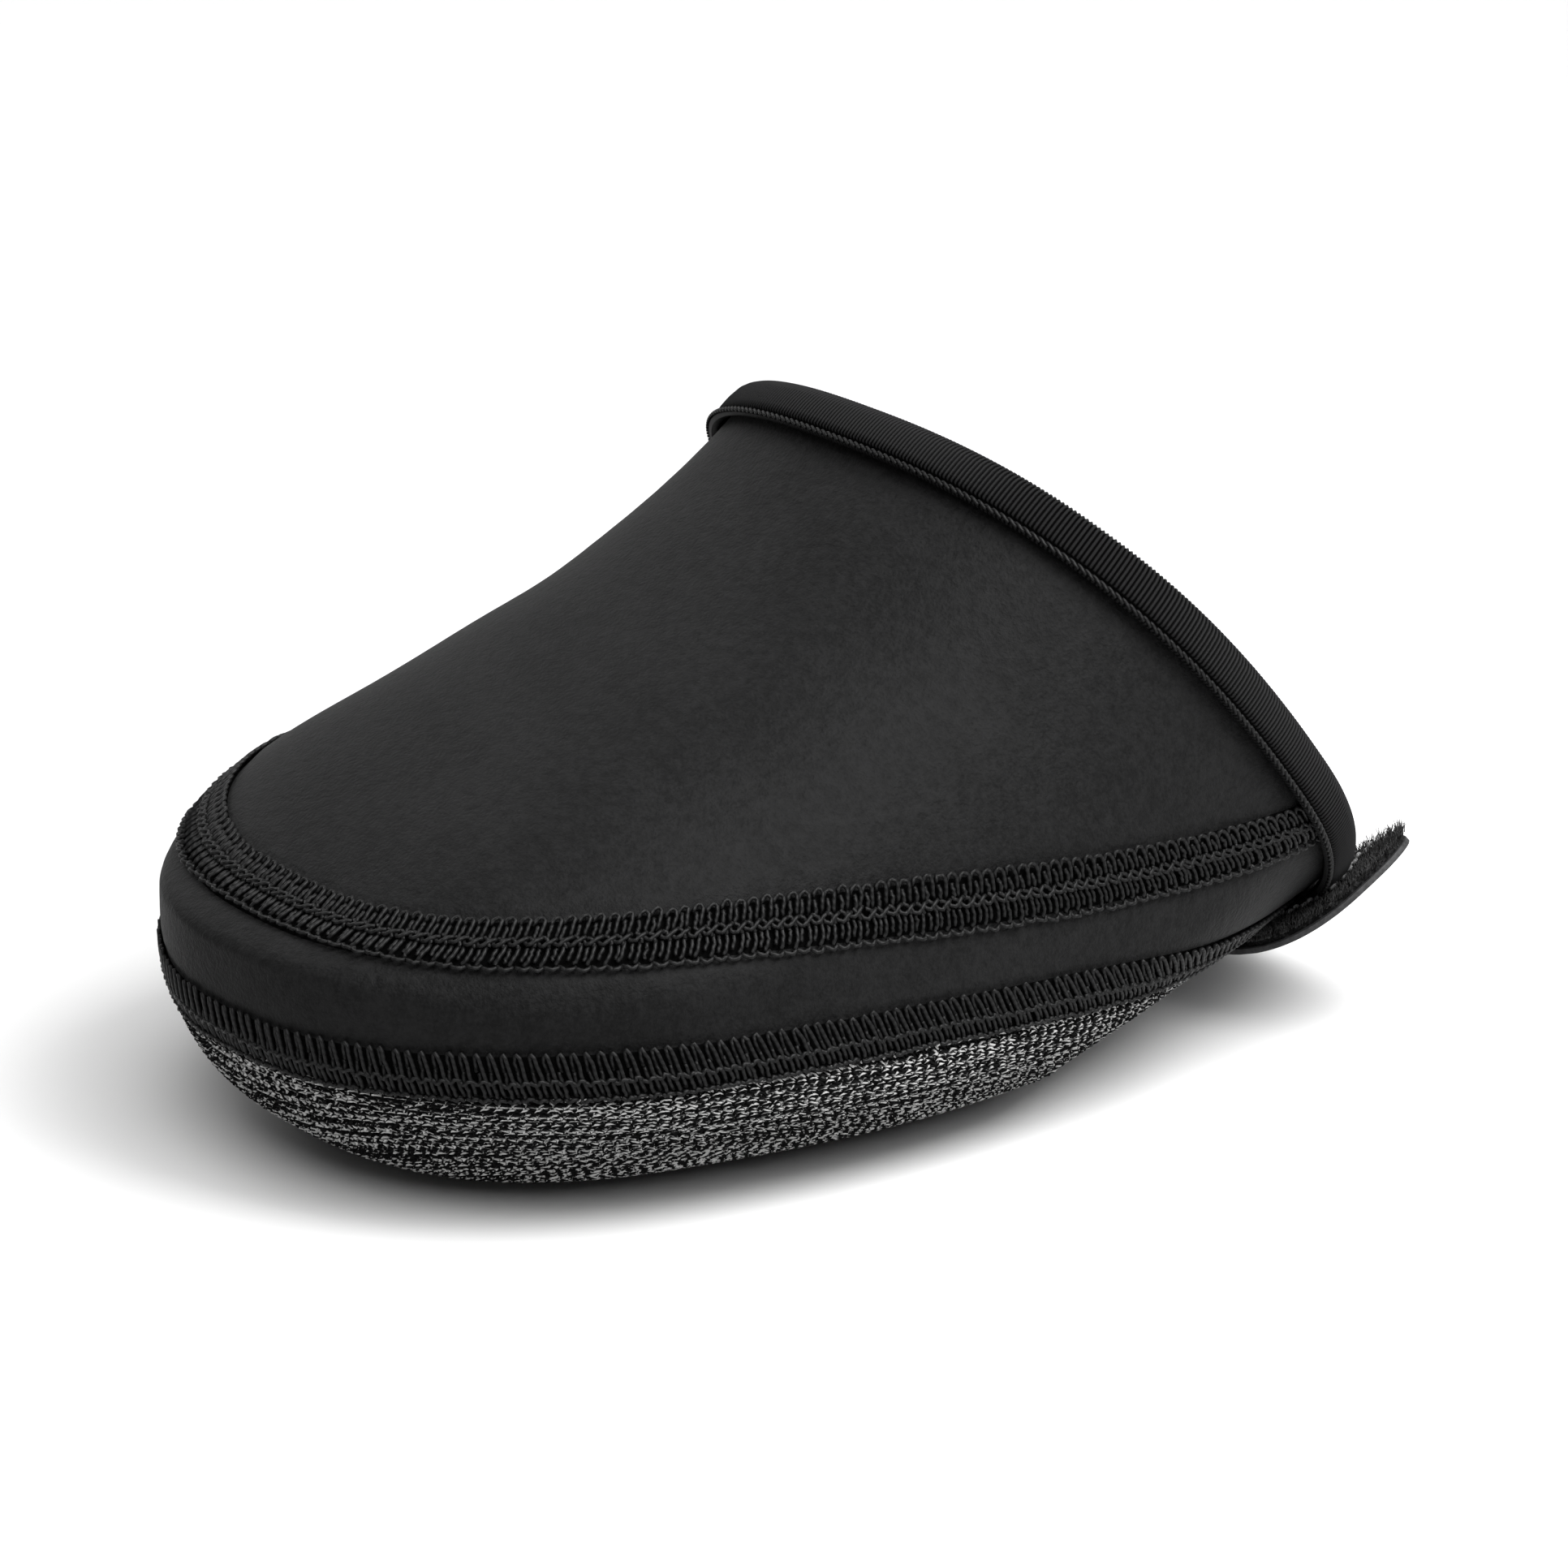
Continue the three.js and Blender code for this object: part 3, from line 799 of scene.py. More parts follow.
class UpperGrid:
    """Rows of the upper from the hem to the spine, and the places of its seams."""

    def __init__(self):
        half = self.seam_rows(low_seam, LOW_SEAM_HALF)
        self.low_row = SEAM_ROWS // 2
        low_top = beside(low_seam, LOW_SEAM_HALF)
        high_foot = beside(high_seam, -HIGH_SEAM_HALF)
        for t in np.linspace(0, 1, BAND_ROWS + 1)[1:-1]:
            half.append(level_line(lambda a: low_top(a) + (high_foot(a) - low_top(a)) * t))
        self.high_row = len(half) + SEAM_ROWS // 2
        half = np.array(half + self.seam_rows(high_seam, HIGH_SEAM_HALF))
        start = half[-1]
        first = float(station_at(np.array(0.0), ridge_point_height))
        a = first + (SPINE_FRONT - first) * np.linspace(0, 1, DENSE + 1)
        spine = evenly(section_point(a, np.full_like(a, QUARTER)), HALF_COLUMNS)
        spine[:, 0] = 0
        start_angle = np.where(start[:, 0] > 1e-6, angle_at_height(start[:, 1], start[:, 2]), QUARTER)
        top = form_lines(start, spine, start_angle, np.full(len(start), QUARTER), TOP_ROWS)
        self.base = mirrored(np.concatenate([half, top[1:]]))
        self.normal = outward(self.base)
        self.u, self.v = surface_lengths(self.base)
        self.from_low = self.v - self.v[self.low_row]
        self.from_high = self.v - self.v[self.high_row]

    @staticmethod
    def seam_rows(height_of, half):
        return [level_line(beside(height_of, half * t)) for t in np.linspace(-1, 1, SEAM_ROWS + 1)]

    def relief(self, puff):
        """Height of the cloth over the form: seam valleys, puffed edges and soft dents."""
        def seam(d, half):
            out = np.abs(d) - half
            away = np.maximum(0, out)
            fade = np.exp(-(away / PUFF_FADE) ** 2)
            ridge = (puff + SEAM_SINK) * (1 - np.exp(-(away / PUFF_RISE) ** 2)) * fade
            return np.where(out > 0, ridge, 0) - SEAM_SINK * fade
        return seam(self.from_low, LOW_SEAM_HALF) + seam(self.from_high, HIGH_SEAM_HALF) + self.dents()

    def dents(self):
        x, a, z = (self.base[..., k] for k in range(3))
        total = RIPPLE * np.sin(a / 9.0 + z / 13.0 + x / 37.0) * np.sin(z / 17.0 - a / 31.0)
        for side, at, height, length, width, slant, depth in DENTS:
            c, s = math.cos(math.radians(slant)), math.sin(math.radians(slant))
            da, dz = a - at, z - height
            far = ((da * c + dz * s) / length) ** 2 + ((dz * c - da * s) / width) ** 2
            share = 1 if side == 0 else np.clip(x * side / 14 + 0.3, 0, 1)
            total = total - depth * np.exp(-far) * share
        return total * np.clip(advance_of(a, z) / RIM_FADE, 0, 1)

    def surface(self, puff):
        return self.base + self.normal * self.relief(puff)[..., None]

    def seam_point(self, middle_row, along_mm, across_mm, height, puff):
        """Point and normal beside a seam's middle line."""
        surface = self.surface(puff)
        columns = np.interp(along_mm, self.u[middle_row], np.arange(self.u.shape[1]))
        d = self.from_low if middle_row == self.low_row else self.from_high
        c0 = np.clip(columns.astype(int), 0, self.u.shape[1] - 2)
        share = (columns - c0)[..., None]
        reach = SEAM_ROWS // 2 + 2
        rows = np.arange(max(middle_row - reach, 0), middle_row + reach + 1)
        spread = d[rows][:, c0].reshape(len(rows), -1)
        want = np.broadcast_to(across_mm, columns.shape).ravel()
        r = np.array([np.interp(w, spread[:, i], rows) for i, w in enumerate(want)]).reshape(columns.shape)
        r0 = np.clip(r.astype(int), rows[0], rows[-1] - 1)
        rise = (r - r0)[..., None]

        def sample(field):
            low = field[r0, c0] * (1 - share) + field[r0, c0 + 1] * share
            high = field[r0 + 1, c0] * (1 - share) + field[r0 + 1, c0 + 1] * share
            return low * (1 - rise) + high * rise

        n = unit(sample(self.normal))
        over = np.broadcast_to(height, columns.shape)[..., None]
        slide = (want - np.clip(want, spread.min(0), spread.max(0))).reshape(columns.shape)[..., None]
        across = unit(self.base[rows[-1], c0] - self.base[rows[0], c0])
        return sample(surface) + n * over + across * slide, n


# Soft dents and ridges of the cloth: side (1 outer, -1 inner, 0 both), place along the foot, height,
# half length, half width, slant in degrees and depth; a negative depth is a ridge
DENTS = (
    (1, 126.0, 28.0, 24.0, 3.5, -4.0, 0.9),
    (1, 122.0, 34.8, 24.0, 3.5, -4.0, -0.6),
    (1, 150.0, 40.0, 9.0, 7.0, -10.0, 0.35),
    (-1, 120.0, 30.0, 14.0, 6.0, 10.0, 0.5),
    (1, 70.0, 62.0, 26.0, 9.0, 35.0, 0.35),
    (-1, 84.0, 58.0, 22.0, 8.0, 40.0, 0.4),
    (0, 100.0, 58.0, 16.0, 10.0, 0.0, -0.4),
    (1, 40.0, 26.0, 14.0, 5.0, -8.0, -0.5),
)

_grid = {}


def upper_grid():
    if "upper" not in _grid:
        _grid["upper"] = UpperGrid()
    return _grid["upper"]


def opening_half(a):
    u = np.clip(np.asarray(a, float) / OPENING_FLARE, 0, 1)
    return OPENING_REAR_HALF + (OPENING_HALF - OPENING_REAR_HALF) * u * u * (3 - 2 * u)


def opening_hem():
    turn = OPENING_FRONT - OPENING_ROUND
    start = float(station_at(np.array(0.0), lambda a: under_point(opening_half(a), a)[..., 2]))
    a = start + (turn - start) * np.linspace(0, 1, DENSE + 1)
    side = under_point(opening_half(a), a)
    angle = QUARTER * np.linspace(0, 1, DENSE + 1)[1:]
    a = turn + OPENING_ROUND * np.sin(angle)
    bow = under_point(opening_half(turn) * np.cos(angle), a)
    bow[-1, 0] = 0
    return evenly(np.concatenate([side, bow]), HALF_COLUMNS)


def sole_grid():
    """Rows of the sole from the low seam to the hem of the cleat opening."""
    if "sole" not in _grid:
        edge = level_line(beside(low_seam, -LOW_SEAM_HALF - FIT_GAP))
        hem = opening_hem()
        centre = edge[:, 0] < 1e-6
        start = np.where(centre, -QUARTER, angle_at_height(edge[:, 1], edge[:, 2]))
        end = np.where(centre, -QUARTER, angle_at_width(hem[:, 1], hem[:, 0]))
        _grid["sole"] = mirrored(form_lines(edge, hem, start, end, SOLE_ROWS))
    return _grid["sole"]


def on_floor(points, least):
    points = points.copy()
    points[..., 2] = np.maximum(points[..., 2], least)
    return points


# Pieces

class COVER_OT_upper(bpy.types.Operator):
    """Lay the top panel and side band over the form, with soft valleys at both seams"""

    bl_idname = "cover.upper"
    bl_label = "Upper"

    def execute(self, context):
        grid = upper_grid()
        puff = context.scene.cover_sizes.seam_puff / MM
        ob = lay_sheet("upper_cloth", grid.surface(puff), (grid.u, grid.v), grid.normal)
        rows, columns = grid.base.shape[0] - 1, grid.base.shape[1] - 1
        slots = np.zeros((rows, columns), np.int32)
        # Slot 1 gives the middle rows of both seams the near-black seam bed, painted shade of the seam
        # valleys.
        for middle in (grid.low_row, grid.high_row):
            slots[middle - SEAM_ROWS // 2 + 1:middle + SEAM_ROWS // 2 - 1] = 1
        for _ in range(3):
            ob.data.materials.append(None)
        ob.data.polygons.foreach_set("material_index", slots.ravel())
        weld(ob)
        give_wall(ob, WALL, inner_slot=2)
        shade_smooth(ob, 60)
        looks = context.scene.cover_looks
        materials = [softshell_finish(looks), seam_bed_shade_finish(), lining_finish(looks)]
        finish_piece(ob, materials, replaces="upper")
        return {"FINISHED"}


class COVER_OT_seams(bpy.types.Operator):
    """Sew both flatlock seams, stitch by stitch"""

    bl_idname = "cover.seams"
    bl_label = "Flatlock seams"

    def execute(self, context):
        sizes, looks = context.scene.cover_sizes, context.scene.cover_looks
        pitch = sizes.stitch_pitch / MM
        dark = thread_finish("seam thread", looks.thread)
        self.sew("high_seam_threads", upper_grid().high_row, pitch, HIGH_STITCH, sizes, dark)
        self.sew("low_seam_threads", upper_grid().low_row, pitch * LOW_PITCH_SHARE, LOW_STITCH, sizes, dark)
        return {"FINISHED"}

    def sew(self, name, row, pitch, stitch, sizes, material):
        grid, thread = upper_grid(), sizes.thread / MM
        line = grid.u[row]
        sewn = line[-1] - line[0] - 2 * SEAM_END
        count = int(sewn / pitch)
        starts = line[0] + SEAM_END + np.arange(count) * sewn / count
        rng = np.random.default_rng(11)
        strands = []
        for strand in stitch:
            pts = smooth_strand(np.array(strand), STRAND_STEPS)
            jitter = rng.normal(0, 0.1, (count, 1, 2)) + rng.normal(0, 0.06, (count, len(pts), 2))
            s = starts[:, None] + pts[None, :, 0] * pitch + jitter[..., 0]
            t = pts[None, :, 1] + jitter[..., 1]
            h = np.broadcast_to(pts[None, :, 2], s.shape) * thread + thread * 0.3
            s = np.clip(s, line[0] + 0.5, line[-1] - 0.5)
            strands.append(grid.seam_point(row, s, t, h, sizes.seam_puff / MM))
        paths, normals = (np.concatenate(side) for side in zip(*strands))
        finish_piece(spun_thread(name, paths, normals, thread / 2), [material])


STRAND_STEPS = 9
LOW_PITCH_SHARE = 0.93
SEAM_END = 2.0


def smooth_strand(points, steps):
    """Rounded line through the few points of a stitch, as (along, across, height)."""
    t = np.linspace(0, 1, len(points))
    want = np.linspace(0, 1, steps)
    fine = np.linspace(0, 1, 60)
    line = np.stack([np.interp(fine, t, points[:, k]) for k in range(3)], -1)
    kernel = np.hanning(15)
    kernel /= kernel.sum()
    padded = np.concatenate([np.repeat(line[:1], 7, 0), line, np.repeat(line[-1:], 7, 0)])
    line = np.stack([np.convolve(padded[:, k], kernel, "valid") for k in range(3)], -1)
    return np.stack([np.interp(want, fine, line[:, k]) for k in range(3)], -1)


# One flatlock stitch of each seam, strand by strand: share of the pitch along the seam, millimetres
# across it, and height in threads
HIGH_STITCH = (
    ((0.08, 0.5, 0.3), (0.06, 2.4, 0.9), (0.1, 3.7, 1.0), (0.45, 4.1, 0.8), (0.75, 3.8, 0.8),
     (0.82, 2.9, 0.3)),
    ((0.58, 0.5, 0.4), (0.52, 1.6, 0.9), (0.62, 2.8, 0.5)),
    ((-0.2, 0.8, 0.9), (0.2, 0.25, 1.3), (0.55, -0.5, 1.3), (0.9, -0.25, 0.9), (1.1, 0.5, 0.5)),
    ((0.1, -0.7, 0.8), (0.4, 0.35, 1.1), (0.75, 0.8, 0.9)),
    ((0.15, -0.4, 0.5), (0.08, -1.6, 1.0), (0.15, -2.8, 1.0), (0.3, -3.4, 0.5)),
    ((0.64, -0.5, 0.4), (0.56, -1.6, 0.8), (0.64, -2.8, 0.5)),
    ((-0.05, -3.5, 0.5), (0.25, -4.05, 1.1), (0.65, -4.0, 1.1), (1.0, -3.5, 0.5)),
)
LOW_STITCH = (
    ((0.02, -3.0, 0.2), (0.02, -1.0, 0.9), (0.05, 1.6, 1.0), (0.1, 3.1, 0.9), (0.3, 3.7, 0.7),
     (0.5, 3.0, 0.6), (0.52, 0.6, 0.3)),
    ((0.52, 1.0, 0.3), (0.56, -0.6, 0.7), (0.5, -2.0, 0.7), (0.58, -3.3, 0.3)),
    ((-0.2, -0.7, 0.8), (0.2, -0.2, 1.2), (0.6, -0.9, 1.2), (1.0, -0.4, 0.8)),
    ((0.0, -3.4, 0.5), (0.3, -3.0, 0.9), (0.6, -3.5, 0.9), (0.95, -3.2, 0.5)),
)


class COVER_OT_sole(bpy.types.Operator):
    """Knit the sole: a ground cloth and its courses of looped yarn"""

    bl_idname = "cover.sole"
    bl_label = "Knit sole"

    def execute(self, context):
        sizes, looks = context.scene.cover_sizes, context.scene.cover_looks
        rows = sole_grid()
        normal = outward(rows)
        u, v = surface_lengths(rows)
        ground = on_floor(rows - normal * GROUND_DEPTH, GROUND_LIFT)
        ob = lay_sheet("sole_ground", ground, (u, v), normal)
        give_wall(ob, GROUND_CLOTH)
        shade_smooth(ob, 60)
        finish_piece(ob, [knit_ground_finish(looks)], replaces="knit_sole")
        self.knit(rows, v, sizes, looks)
        return {"FINISHED"}

    def knit(self, rows, v, sizes, looks):
        wale, course, yarn = sizes.wale / MM, sizes.course / MM, sizes.yarn / MM
        loop = np.arange(LOOP_POINTS + 1) / LOOP_POINTS * TURN
        top = LOOP_POINTS // 2
        halves = {"left": [], "right": []}
        for k in range(int(float(v[-1].max()) / course)):
            depth = course * (k + FIRST_COURSE)
            kept = np.where(v[-1] > depth + 0.6)[0]
            if len(kept) < 8:
                break

            def at_depth(d):
                return np.array([[np.interp(d, v[:, c], rows[:, c, i]) for i in range(3)] for c in kept])

            line = at_depth(depth)
            down = unit(at_depth(depth + 0.8) - line)
            run = run_of(line)
            count = int(run[-1] / wale)
            if count < 4:
                break
            pitch = run[-1] / count
            first = np.arange(count) * pitch
            s = first[:, None] + loop[None] / TURN * pitch
            place = np.clip(s + LOOP_OVERHANG * pitch * np.sin(2 * loop)[None], 0, run[-1])
            p, d = pick(line, run, place), unit(pick(down, run, place))
            n = outward(p)
            across = course * LOOP_REACH * np.cos(loop)[None, :, None]
            lift = (yarn * LOOP_LIFT * np.cos(2 * loop) - yarn * LOOP_SINK)[None, :, None]
            path = on_floor(p + d * across + n * lift, yarn * LOOP_FLOOR)
            ply = (first + k * COURSE_PLY_SHIFT) * PLY_STRETCH
            for i in range(count):
                halves["left" if path[i, top, 0] > 0 else "right"].append((path[i], n[i], ply[i]))
        finish = yarn_finish(looks)
        for side, loops in halves.items():
            loops.sort(key=lambda loop: loop[0][top, 1])
            middle = len(loops) // 2
            for end, kept in (("rear", loops[:middle]), ("toe", loops[middle:])):
                paths, normals, lengths = zip(*kept)
                ob = spun_thread(f"knit_{side}_{end}", paths, normals, yarn / 2, 3, np.array(lengths))
                finish_piece(ob, [finish])


# Loops of the knit: points in one, how deep the first course lies and how the loop leans over its
# neighbours, as shares of the course, the stitch and the yarn
LOOP_POINTS = 10
FIRST_COURSE = 0.35
LOOP_OVERHANG = 0.21
LOOP_REACH = 0.93
LOOP_LIFT = 0.32
LOOP_SINK = 0.25
LOOP_FLOOR = 0.42

# Where the plies of one course start against the last, and how fast they turn along it
COURSE_PLY_SHIFT = 137.0
PLY_STRETCH = 1.6

# Ground cloth under the loops
GROUND_DEPTH = 0.75
GROUND_LIFT = 0.55
GROUND_CLOTH = 1.2


class COVER_OT_binding(bpy.types.Operator):
    """Fold the ribbed binding over the collar edge"""

    bl_idname = "cover.binding"
    bl_label = "Collar binding"

    def execute(self, context):
        sizes, looks = context.scene.cover_sizes, context.scene.cover_looks
        left = upper_grid().base[SEAM_ROWS + 3:, 0]
        edge = np.concatenate([left, (left[:-1] * MIRROR)[::-1]])
        rib = sizes.rib / MM
        steps = int(run_of(edge)[-1] / rib) * RIB_POINTS
        line = settle(evenly(edge, steps))
        n = outward(line)
        forward = unit(np.cross(unit(np.gradient(line, axis=0)), n))
        forward = forward * np.where(forward[:, 1:2] < 0, -1, 1)
        leg = BINDING_WIDTH - ROLL_OUT
        ridge = 0.5 + 0.5 * np.cos(TURN * np.arange(steps + 1) / RIB_POINTS)

        def lay(place, depth):
            q = settle(line + forward * place) if place > 0 else line
            m = outward(q) if place > 0 else n
            return q + m * depth[:, None]

        top = BINDING_GAP + BINDING_CLOTH
        rows = [
            lay(place * leg, BINDING_PUFF + top + raised + RIB_HEIGHT * ridge * ribs - RIB_SINK)
            for place, raised, ribs in BINDING_SECTION]
        centre = line - n * (WALL / 2)
        near = WALL / 2 + top
        for turn in np.linspace(0, math.pi, 13)[1:-1]:
            ray = n * math.cos(turn) - forward * math.sin(turn)
            size = near + BINDING_PUFF * max(0, math.cos(turn)) + RIB_HEIGHT * ridge - RIB_SINK
            rows.append(centre + ray * size[:, None])
        rows += [lay(place * leg, -WALL - top - INNER_RIB * ridge) for place in (0, 0.35, 0.7, 1.0)]
        points = np.array(rows)
        u, v = surface_lengths(points)
        u = np.broadcast_to(np.arange(steps + 1) * rib / RIB_POINTS, u.shape)
        outer = np.zeros_like(points)
        outer[:len(BINDING_SECTION)] = n
        ob = lay_sheet("collar_tape", points, (u, v), outer)
        give_wall(ob, BINDING_CLOTH * 0.85)
        shade_smooth(ob, 60)
        finish_piece(ob, [binding_finish(looks)], replaces="collar_binding")
        self.edge_stitches(line, forward, leg, top, looks, sizes)
        return {"FINISHED"}

    def edge_stitches(self, line, forward, leg, top, looks, sizes):
        """Twisted cord along the binding's edge, laid as one row of short swaying stitches."""
        edge = settle(line + forward * (leg - CORD_INSET))
        m = outward(edge)
        run = run_of(edge)
        t = np.linspace(-0.15, 1.15, 7)
        swing = CORD_SWING * np.cos(math.pi * (t - 0.5) * 0.9 + QUARTER)[:, None]
        rise = (top + CORD_RISE + CORD_ROLL * np.cos(math.pi * (t - 0.5)))[:, None]

        def stitch(k):
            place = np.clip((k + t) * CORD_PITCH, 0, run[-1])
            base, ahead, up = (pick(field, run, place) for field in (edge, forward, m))
            return base + ahead * swing + up * rise, up

        cord = thread_finish("edge cord", [c * 1.25 for c in looks.thread])
        lay_stitches("collar_edge_stitches", int(run[-1] / CORD_PITCH), stitch, sizes.thread / MM * 0.4,
                     cord)


# Ribs of the binding: points in one, height, how far the cloth puffs up under them and how deep
# they lie in it; the last is for the inner leg
RIB_POINTS = 4
RIB_HEIGHT = 0.3
BINDING_PUFF = 0.25
RIB_SINK = 0.15
INNER_RIB = 0.08

# Cord along the binding's edge: distance from the edge, stitch pitch, sway, height and roundness
CORD_INSET = 0.35
CORD_PITCH = 1.2
CORD_SWING = 0.22
CORD_RISE = 0.5
CORD_ROLL = 0.12

# Outer leg of the binding: place as a share of the leg, raise, and how far the ribs show
BINDING_SECTION = (
    (1.0, -0.55, 0.0),
    (1.0, 0.0, 0.0),
    (0.96, 0.2, 0.0),
    (0.9, 0.22, 0.0),
    (0.85, 0.05, 0.1),
    (0.8, -0.45, 0.2),
    (0.75, -0.45, 0.4),
    (0.68, 0.0, 0.9),
    (0.5, 0.1, 1.0),
    (0.33, 0.12, 1.0),
    (0.16, 0.1, 1.0),
    (0.0, 0.0, 1.0),
)


# Stitch line round the loop cloth of the tab, from the front edge to the rear one: x and a
TAB_STITCH_LINE = (
    (26.0, 12.2), (30.0, 10.8), (34.0, 9.2), (38.0, 7.4), (39.6, 4.6), (38.6, 1.2), (36.6, -1.8),
    (36.2, -4.4), (37.4, -6.6),
)


def strap_top(x, a):
    edge = width_at(a, beside(low_seam, -LOW_SEAM_HALF)(a))
    grip = STRAP_GRIP_SHARE * edge
    held = np.minimum(x, grip)
    p = under_point(held, a)
    n = outward(p)
    hem = opening_half(a)
    near = np.clip((np.abs(x) - hem) / (edge - hem), 0, 1)
    clear = (STRAP_GAP + SEAM_RAISE * near) / np.maximum(STEEPEST, np.abs(n[..., 2]))
    out = np.maximum(0, x - grip)
    rearness = 1 - (a - STRAP_REAR) / STRAP_WIDTH
    bent = np.maximum(0, out - CURL_START) / (TAB_REACH - grip - CURL_START)
    curl = TAB_CURL * rearness * bent ** CURL_POWER
    return p[..., 2] - clear + out * TAB_SLOPE + curl


def strap_grid(rows, columns):
    share = np.linspace(0, 1, rows + 1)[:, None]
    a = STRAP_REAR + STRAP_WIDTH * share
    sewn = -STRAP_SEWN_SHARE * width_at(a, beside(low_seam, -LOW_SEAM_HALF)(a))
    side = np.abs(2 * share - 1)
    corner = np.maximum(0, side - (1 - 2 * TAB_CORNER)) / (2 * TAB_CORNER)
    rounding = STRAP_WIDTH * TAB_CORNER * (1 - np.sqrt(np.maximum(0, 1 - corner ** 2)))
    reach = TAB_REACH - TAB_SKEW * share ** 2 - rounding
    x = sewn + (reach - sewn) * np.linspace(0, 1, columns + 1)[None]
    a = np.broadcast_to(a, x.shape)
    return np.stack([x, a, strap_top(x, a)], -1)


class COVER_OT_strap(bpy.types.Operator):
    """Lay the hook and loop strap under the arms, its fuzzy tab standing out"""

    bl_idname = "cover.strap"
    bl_label = "Strap"

    def execute(self, context):
        sizes, looks = context.scene.cover_sizes, context.scene.cover_looks
        top = strap_grid(48, 120)
        u, v = surface_lengths(top)
        up = np.zeros_like(top) + UP
        ob = lay_sheet("strap_tape", top - up * PILE_HEIGHT, (u, v), up)
        give_wall(ob, STRAP_CLOTH - PILE_HEIGHT)
        soften_edges(ob, 0.3, 3)
        shade_smooth(ob, 50)
        finish_piece(ob, [strap_finish(looks)], replaces="strap")
        inner = np.s_[2:-2, 1:-2]
        ob = lay_sheet("strap_loops", top[inner], (u[inner], v[inner]), up[inner])
        give_wall(ob, PILE_HEIGHT + 0.1)
        soften_edges(ob, 0.45, 3)
        shade_smooth(ob, 50)
        finish_piece(ob, [pile_finish(looks)])
        self.stitches(sizes)
        self.fuzz(top)
        return {"FINISHED"}

    def stitches(self, sizes):
        """Light lock stitches along the border of the loop cloth on the tab."""
        x, a = np.array(TAB_STITCH_LINE).T
        fine = np.linspace(0, len(x) - 1, 120)
        x, a = (np.interp(fine, np.arange(len(x)), values) for values in (x, a))
        line = evenly(np.stack([x, a, strap_top(x, a)], -1), 200)
        run = run_of(line)
        t = np.linspace(0.05, 0.85, 6)
        arch = np.sin(math.pi * t)[:, None]
        up = np.tile(UP, (len(t), 1))

        def stitch(k):
            sway = np.array([[TAB_STITCH_SWAY * (-1) ** k, 0.0, 0.0]]) * arch
            return pick(line, run, (k + t) * TAB_STITCH_PITCH) + sway + up * (0.85 + 0.4 * arch), up

        lay_stitches("strap_stitches", int(run[-1] / TAB_STITCH_PITCH), stitch, sizes.thread / MM * 0.5,
                     thread_finish("strap thread", (0.12, 0.12, 0.12)))

    def fuzz(self, top):
        """Short loops of pile on the upper face of the tab."""
        rng = np.random.default_rng(5)
        rows, columns = top.shape[:2]
        r = rng.uniform(1, rows - 2, PILE_COUNT)
        c = rng.uniform(columns * 0.5, columns - 1.6, PILE_COUNT)
        r0, c0 = r.astype(int), c.astype(int)
        fr, fc = (r - r0)[:, None], (c - c0)[:, None]
        near, far = (top[r0, k] * (1 - fr) + top[r0 + 1, k] * fr for k in (c0, c0 + 1))
        base = near * (1 - fc) + far * fc
        lean = rng.normal(0, 0.35, (PILE_COUNT, 2))
        tall = rng.uniform(0.6, 1.5, PILE_COUNT) * (1 + 0.5 * (r < rows * 0.25))
        t = np.linspace(0, 1, 4)
        path = base[:, None] + np.zeros((PILE_COUNT, 4, 3))
        path[..., 2] += tall[:, None] * t - 0.1
        path[..., :2] += lean[:, None] * t[:, None] ** 2
        normals = np.tile(np.array([1.0, 0.0, 0.0]), (PILE_COUNT, 4, 1))
        ob = spun_thread("tab_pile", path, normals, PILE_RADIUS * (1 - 0.6 * t), 3)
        finish_piece(ob, [thread_finish("pile", (0.022, 0.022, 0.022), 0.8)])


# Stitches round the loop cloth of the tab, and its pile
TAB_STITCH_PITCH = 1.25
TAB_STITCH_SWAY = 0.25
PILE_COUNT = 6500
PILE_RADIUS = 0.09


class COVER_OT_patch(bpy.types.Operator):
    """Sew the patch to the inside of the outer wall"""

    bl_idname = "cover.patch"
    bl_label = "Closure patch"

    def execute(self, context):
        looks = context.scene.cover_looks
        rows, columns = 30, 36
        points = np.zeros((rows + 1, columns + 1, 3))
        for i, share in enumerate(np.linspace(0, 1, rows + 1)):
            def height(a):
                low = low_seam(a) + PATCH_DROP
                return low + (high_seam(a) + PATCH_RISE - low) * share

            a = station_at(PATCH_START + PATCH_LENGTH * np.linspace(0, 1, columns + 1), height)
            points[i] = np.stack([width_at(a, height(a)), a, height(a)], -1)
        n = outward(points)
        outer = points - n * (WALL + FIT_GAP)
        inner = points - n * (WALL + FIT_GAP + PATCH_CLOTH)
        u, v = surface_lengths(outer)
        ob = lay_sheet("patch_sheet", inner, (u, v), -n)
        give_wall(ob, PATCH_CLOTH)
        soften_edges(ob, 0.3, 2)
        shade_smooth(ob, 50)
        finish_piece(ob, [strap_finish(looks)], replaces="closure_patch")
        border = [inner[2, c] for c in range(2, columns - 1)]
        border += [inner[r, columns - 2] for r in range(3, rows - 1)]
        border += [inner[rows - 2, c] for c in range(columns - 3, 1, -1)]
        border += [inner[r, 2] for r in range(rows - 3, 1, -1)]
        line = evenly(np.array(border), 300)
        run = run_of(line)
        inward = -outward(line)
        t = np.linspace(0.05, 0.8, 6)
        rise = (0.02 + 0.22 * np.sin(np.linspace(0, math.pi, len(t))))[:, None]

        def stitch(k):
            base, up = (pick(field, run, (k + t) * PATCH_PITCH) for field in (line, inward))
            return base + up * rise, up

        lay_stitches("patch_stitches", int(run[-1] / PATCH_PITCH), stitch, 0.18,
                     thread_finish("patch thread", (0.09, 0.09, 0.09)))
        return {"FINISHED"}


